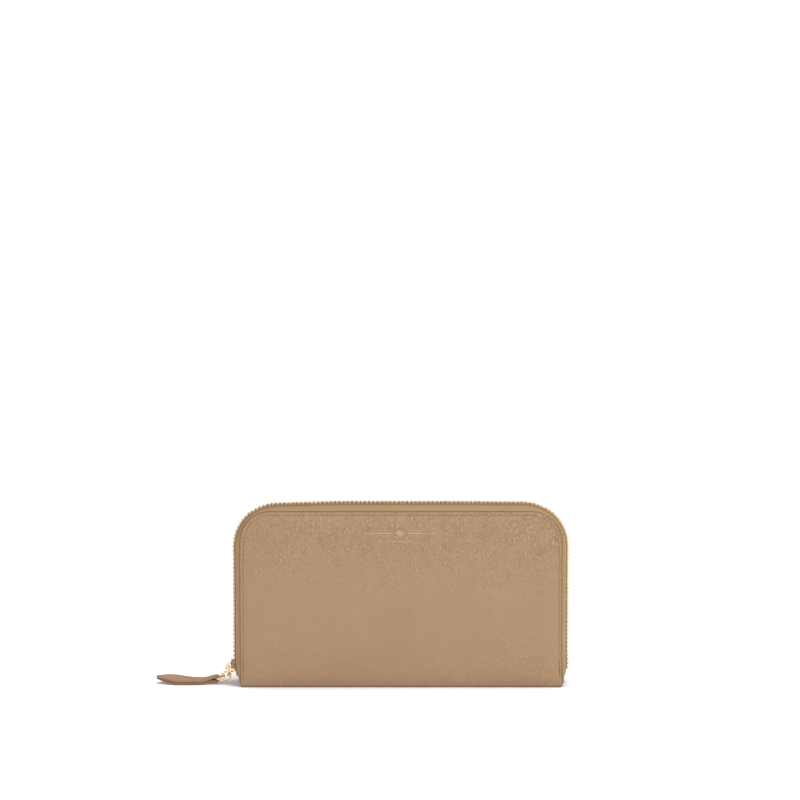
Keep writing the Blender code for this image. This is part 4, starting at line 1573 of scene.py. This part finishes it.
for side in (-1, 1):
    name = cover_names[side]
    low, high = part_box("coin_" + name + "_wall")
    face = low.y if side < 0 else high.y

    def wall_bulge(x, z):
        slack = 0.10 * MM * noise.noise(Vector((x * 22, z * 22, 7.0 + side)))
        flat_edge = ease(0, 8 * MM, COIN_HALF - abs(x)) * ease(0, 8 * MM, COIN_TOP - z)
        return (slack + 0.05 * MM) * flat_edge

    wall = make_sheet("coin_" + name + "_leather", high.x, low.z, high.z, 3 * MM,
                      lambda x, z: face + side * wall_bulge(x, z),
                      lambda x, z: -side * (0.36 * MM + wall_bulge(x, z)), pocket_leather)
    on_core(wall, "coin_" + name + "_wall")
    left_end = [(-COIN_HALF + COIN_SEAM_IN, face, COIN_SEAM_LOW),
                (-COIN_HALF + COIN_SEAM_IN, face, COIN_TOP - COIN_CORNER_IN),
                (-COIN_HALF + COIN_CORNER_IN, face, COIN_TOP - COIN_SEAM_IN)]
    border = left_end + [(-x, y, z) for x, y, z in reversed(left_end)]
    outward = (0.0, float(side), 0.0)
    seam = set_in_row("coin_" + name + "_seam", border, outward, 2.0 * MM, fine_stitch, thread)
    on_core(seam, None)

    low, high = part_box("coin_" + name + "_tape")
    near, far = (high.y, low.y) if side < 0 else (low.y, high.y)
    rows = []
    for x in spread(low.x, high.x, 90):
        lift = 0.03 * MM * noise.noise(Vector((x * 90, side, 0)))
        rows.append([(x, near, low.z + 0.08 * MM), (x, (near + far) / 2, low.z + 0.02 * MM + lift),
                     (x, far, low.z), (x, far, low.z + 0.30 * MM),
                     (x, (near + far) / 2, low.z + 0.36 * MM + lift), (x, near, high.z - 0.08 * MM)])
    tape = make_piece("coin_" + name + "_woven_tape", *loft(rows), tape_cloth)
    on_core(tape, "coin_" + name + "_tape")

    low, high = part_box("coin_" + name + "_teeth")
    start = low.x + (COIN_PITCH / 2 if side > 0 else 0)
    line = [(x, 0.0, (low.z + high.z) / 2) for x in spread(start, high.x, 40)]
    teeth = set_in_row("coin_" + name + "_teeth_row", line, outward, COIN_PITCH, coin_tooth, zip_gold)
    on_core(teeth, "coin_" + name + "_teeth")
print("coin pocket made, its teeth stand", round(COIN_PITCH / MM, 1), "mm apart")

# %% [markdown]
# A strip of leather closes the coin pocket below, and twill lines the spine on both sides of it.
# Both are long and low, with an upper side that sags or ripples a few hundredths.

# %% Base strip and spine lining
low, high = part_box("coin_base_strip")
rows = []
for x in spread(low.x, high.x, 40):
    sag = 0.05 * MM * noise.noise(Vector((x * 40, 0, 3)))
    rows.append([(x, low.y, low.z), (x, high.y, low.z), (x, high.y, high.z - 0.1 * MM),
                 (x, high.y * 0.5, high.z + sag), (x, low.y * 0.5, high.z + sag),
                 (x, low.y, high.z - 0.1 * MM)])
base = make_piece("coin_base_leather", *loft(rows), pocket_leather)
on_core(base, "coin_base_strip")

low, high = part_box("spine_lining")
rows = []
for x in spread(low.x, high.x, 60):
    sides = [(x, low.y, low.z), (x, high.y, low.z), (x, high.y, high.z - 0.08 * MM)]
    upper = [(x, y, high.z - 0.02 * MM + 0.05 * MM * noise.noise(Vector((x * 50, y * 80, 4))))
             for y in spread(high.y * 0.9, low.y * 0.9, 8)]
    rows.append(sides + upper + [(x, low.y, high.z - 0.08 * MM)])
on_core(make_piece("spine_twill", *loft(rows), lining_cloth), "spine_lining")
print("base strip and spine lining made")

# %% [markdown]
# The coin zip's slider is the same shape at about six tenths of the size, turned to run along x.
# Its pull is one wire loop that lies on the teeth and turns over at the slider.

# %% The coin zip's slider and pull
COIN_SIZE = {"top_low": 0.92, "plate": 0.66, "bottom_low": -1.55, "inner_share": 0.80,
             "lip": 0.05, "inner_lip": 0.02, "bridge_shift": 0.0}
COIN_SCALE = 0.62
COIN_LENGTH_SCALE = 0.875
PLATE_TOP = COIN_SIZE["top_low"] + COIN_SIZE["plate"]
BRIDGE_LOWERED = 0.16
PULL_LENGTH = 13 * MM
PULL_RISE = math.radians(3)
low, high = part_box("coin_slider")
coin_x = (low.x + high.x) / 2
tape_low, tape_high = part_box("coin_front_tape")
coin_z = (tape_low.z + tape_high.z) / 2


def put_coin_slider(a, w, o):
    bridge_part = max(0.0, o - PLATE_TOP)
    return (coin_x + a * COIN_LENGTH_SCALE * MM, w * COIN_SCALE * MM,
            coin_z + (o - bridge_part * BRIDGE_LOWERED) * MM)


plates, bridge = slider_shapes(put_coin_slider, COIN_SIZE)
coin_slider = join_into("coin_shaped_slider",
                        [make_bevelled("coin_plates", plates, gold, 0.10 * MM),
                         make_piece("coin_bridge", *bridge, gold)])
hang(coin_slider, "coin_slider", "coin_zip_slider")
pull_start = Vector((-70, 0, 86.9)) * MM
pull_end = pull_start + PULL_LENGTH * Vector((math.cos(PULL_RISE), 0, math.sin(PULL_RISE)))
pull_path = squared_loop(pull_start, pull_end, 1.6 * MM, 1.1 * MM)
coin_pull = make_piece("coin_wire_pull", *wire(pull_path, 0.4 * MM), gold)
hang(coin_pull, "coin_pull", "coin_zip_pull")
print("coin zip slider at", round(coin_x / MM, 1), "mm")

# %% [markdown]
# Each gusset is one strip folded like a bellows. One edge is sewn to the coin pocket and the other
# to the cover. The fold's line is worked out once, and a row of it at each height makes the strip.

# %% Side gussets
GUSSET_STEPS = 30
GUSSET_THICK = 0.34 * MM
GUSSET_SLACK = 0.10 * MM


def gusset_fold(share, end, side, low, high):
    """Middle line of the fold: from the coin pocket (0) in to the fold and out to the cover (1)."""
    outer = max(abs(low.x), abs(high.x)) - 0.2 * MM
    inner = min(abs(low.x), abs(high.x)) + 0.6 * MM
    depth = outer - inner
    swing = 1 - abs(2 * share - 1)
    soft = swing * (1.5 - 0.5 * swing) if swing < 1 else 1.0
    near, far = sorted((abs(low.y), abs(high.y)))
    y = near + GUSSET_THICK / 2 + (far - near - GUSSET_THICK) * share
    return end * (outer - depth * soft), side * y


for side in (-1, 1):
    for end, end_name in ((-1, "left"), (1, "right")):
        node_name = "gusset_" + cover_names[side] + "_" + end_name
        low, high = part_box(node_name)
        middle = [gusset_fold(i / GUSSET_STEPS, end, side, low, high) for i in range(GUSSET_STEPS + 1)]
        rows = []
        for z in spread(low.z, high.z, 24):
            outer_row = []
            inner_row = []
            for i, (x, y) in enumerate(middle):
                ahead = middle[min(i + 1, GUSSET_STEPS)]
                behind = middle[max(i - 1, 0)]
                along = Vector((ahead[0] - behind[0], ahead[1] - behind[1])).normalized()
                off = Vector((-along.y, along.x)) * GUSSET_THICK / 2
                slack = GUSSET_SLACK * noise.noise(Vector((x * 120, y * 100, z * 60)))
                slack *= math.sin(math.pi * i / GUSSET_STEPS)
                outer_row.append((x + slack + off.x, y + off.y, z))
                inner_row.append((x + slack - off.x, y - off.y, z))
            rows.append(outer_row + list(reversed(inner_row)))
        gusset = make_piece(node_name + "_bellows", *loft(rows), pocket_leather, smooth_deg=80)
        near, far = sorted((abs(low.y), abs(high.y)))
        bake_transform(gusset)
        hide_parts(node_name)
print("gussets made")

# %% [markdown]
# ## The stamped mark
# A small foil ornament sits in the upper middle of the front panel: a fine rule with a lozenge,
# and a shorter one below. It follows the leather's surface and stands a few hundredths above it.

# %% Foil ornament on the front panel
FOIL_Z = 88.3 * MM
FOIL_RAISE = 0.05 * MM
FOIL_ROOT = -0.12 * MM
SIDE_RULE_UP = 1.5 * MM
LOWER_RULE_DOWN = 4.6 * MM


def foil_shape(outline):
    """A thin closed plate from a convex outline (x, z) laid on the front panel."""

    def surface(x, z, lift):
        s = z + SHEET_RISE
        return (x, -(FACE_Y - max(0.0, cover_waves(x, s))) - lift, z)

    return loft([[surface(x, z, lift) for x, z in outline] for lift in (FOIL_ROOT, FOIL_RAISE)])


def foil_rule(x_from, x_to, z, half_from, half_to):
    steps = 10
    top = [(x_from + (x_to - x_from) * i / steps, z + half_from + (half_to - half_from) * i / steps)
           for i in range(steps + 1)]
    return foil_shape(top + [(x, 2 * z - height) for x, height in reversed(top)])


def foil_diamond(x, z, half_x, half_z, sides=4):
    turns = [2 * math.pi * k / sides for k in range(sides)]
    return foil_shape([(x + half_x * math.cos(turn), z + half_z * math.sin(turn)) for turn in turns])


marks = [foil_diamond(0, FOIL_Z, 2.6 * MM, 1.9 * MM)]
for sign in (-1, 1):
    marks.append(foil_rule(sign * 4.4 * MM, sign * 20.5 * MM, FOIL_Z, 0.40 * MM, 0.12 * MM))
    for z in (FOIL_Z + SIDE_RULE_UP, FOIL_Z - SIDE_RULE_UP):
        marks.append(foil_rule(sign * 6.0 * MM, sign * 14.0 * MM, z, 0.18 * MM, 0.08 * MM))
    lower_z = FOIL_Z - LOWER_RULE_DOWN
    marks.append(foil_rule(sign * 2.0 * MM, sign * 8.0 * MM, lower_z, 0.28 * MM, 0.12 * MM))
marks.append(foil_diamond(0, FOIL_Z - LOWER_RULE_DOWN, 1.0 * MM, 0.65 * MM))
foil_mark = make_piece("foil_ornament", *join_shapes(marks), foil, smooth_deg=20)
on_cover(foil_mark, -1)
print("foil ornament:", round(foil_mark.dimensions.x / MM, 1), "mm wide")

# %% [markdown]
# ## Last step
# The small shapes that were copied in rows are no longer needed. Then the sizes of the frame's
# solids and of the finished pieces are written side by side.

# %% Clear up, write the sizes and finish
for small in (tooth, coin_tooth, stitch, fine_stitch):
    bpy.data.objects.remove(small)
finished_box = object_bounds()
for label, (low, high) in (("frame", cad_box), ("finished", finished_box)):
    print(label, "box in mm:", [round((b - a) / MM, 1) for a, b in zip(low, high)])
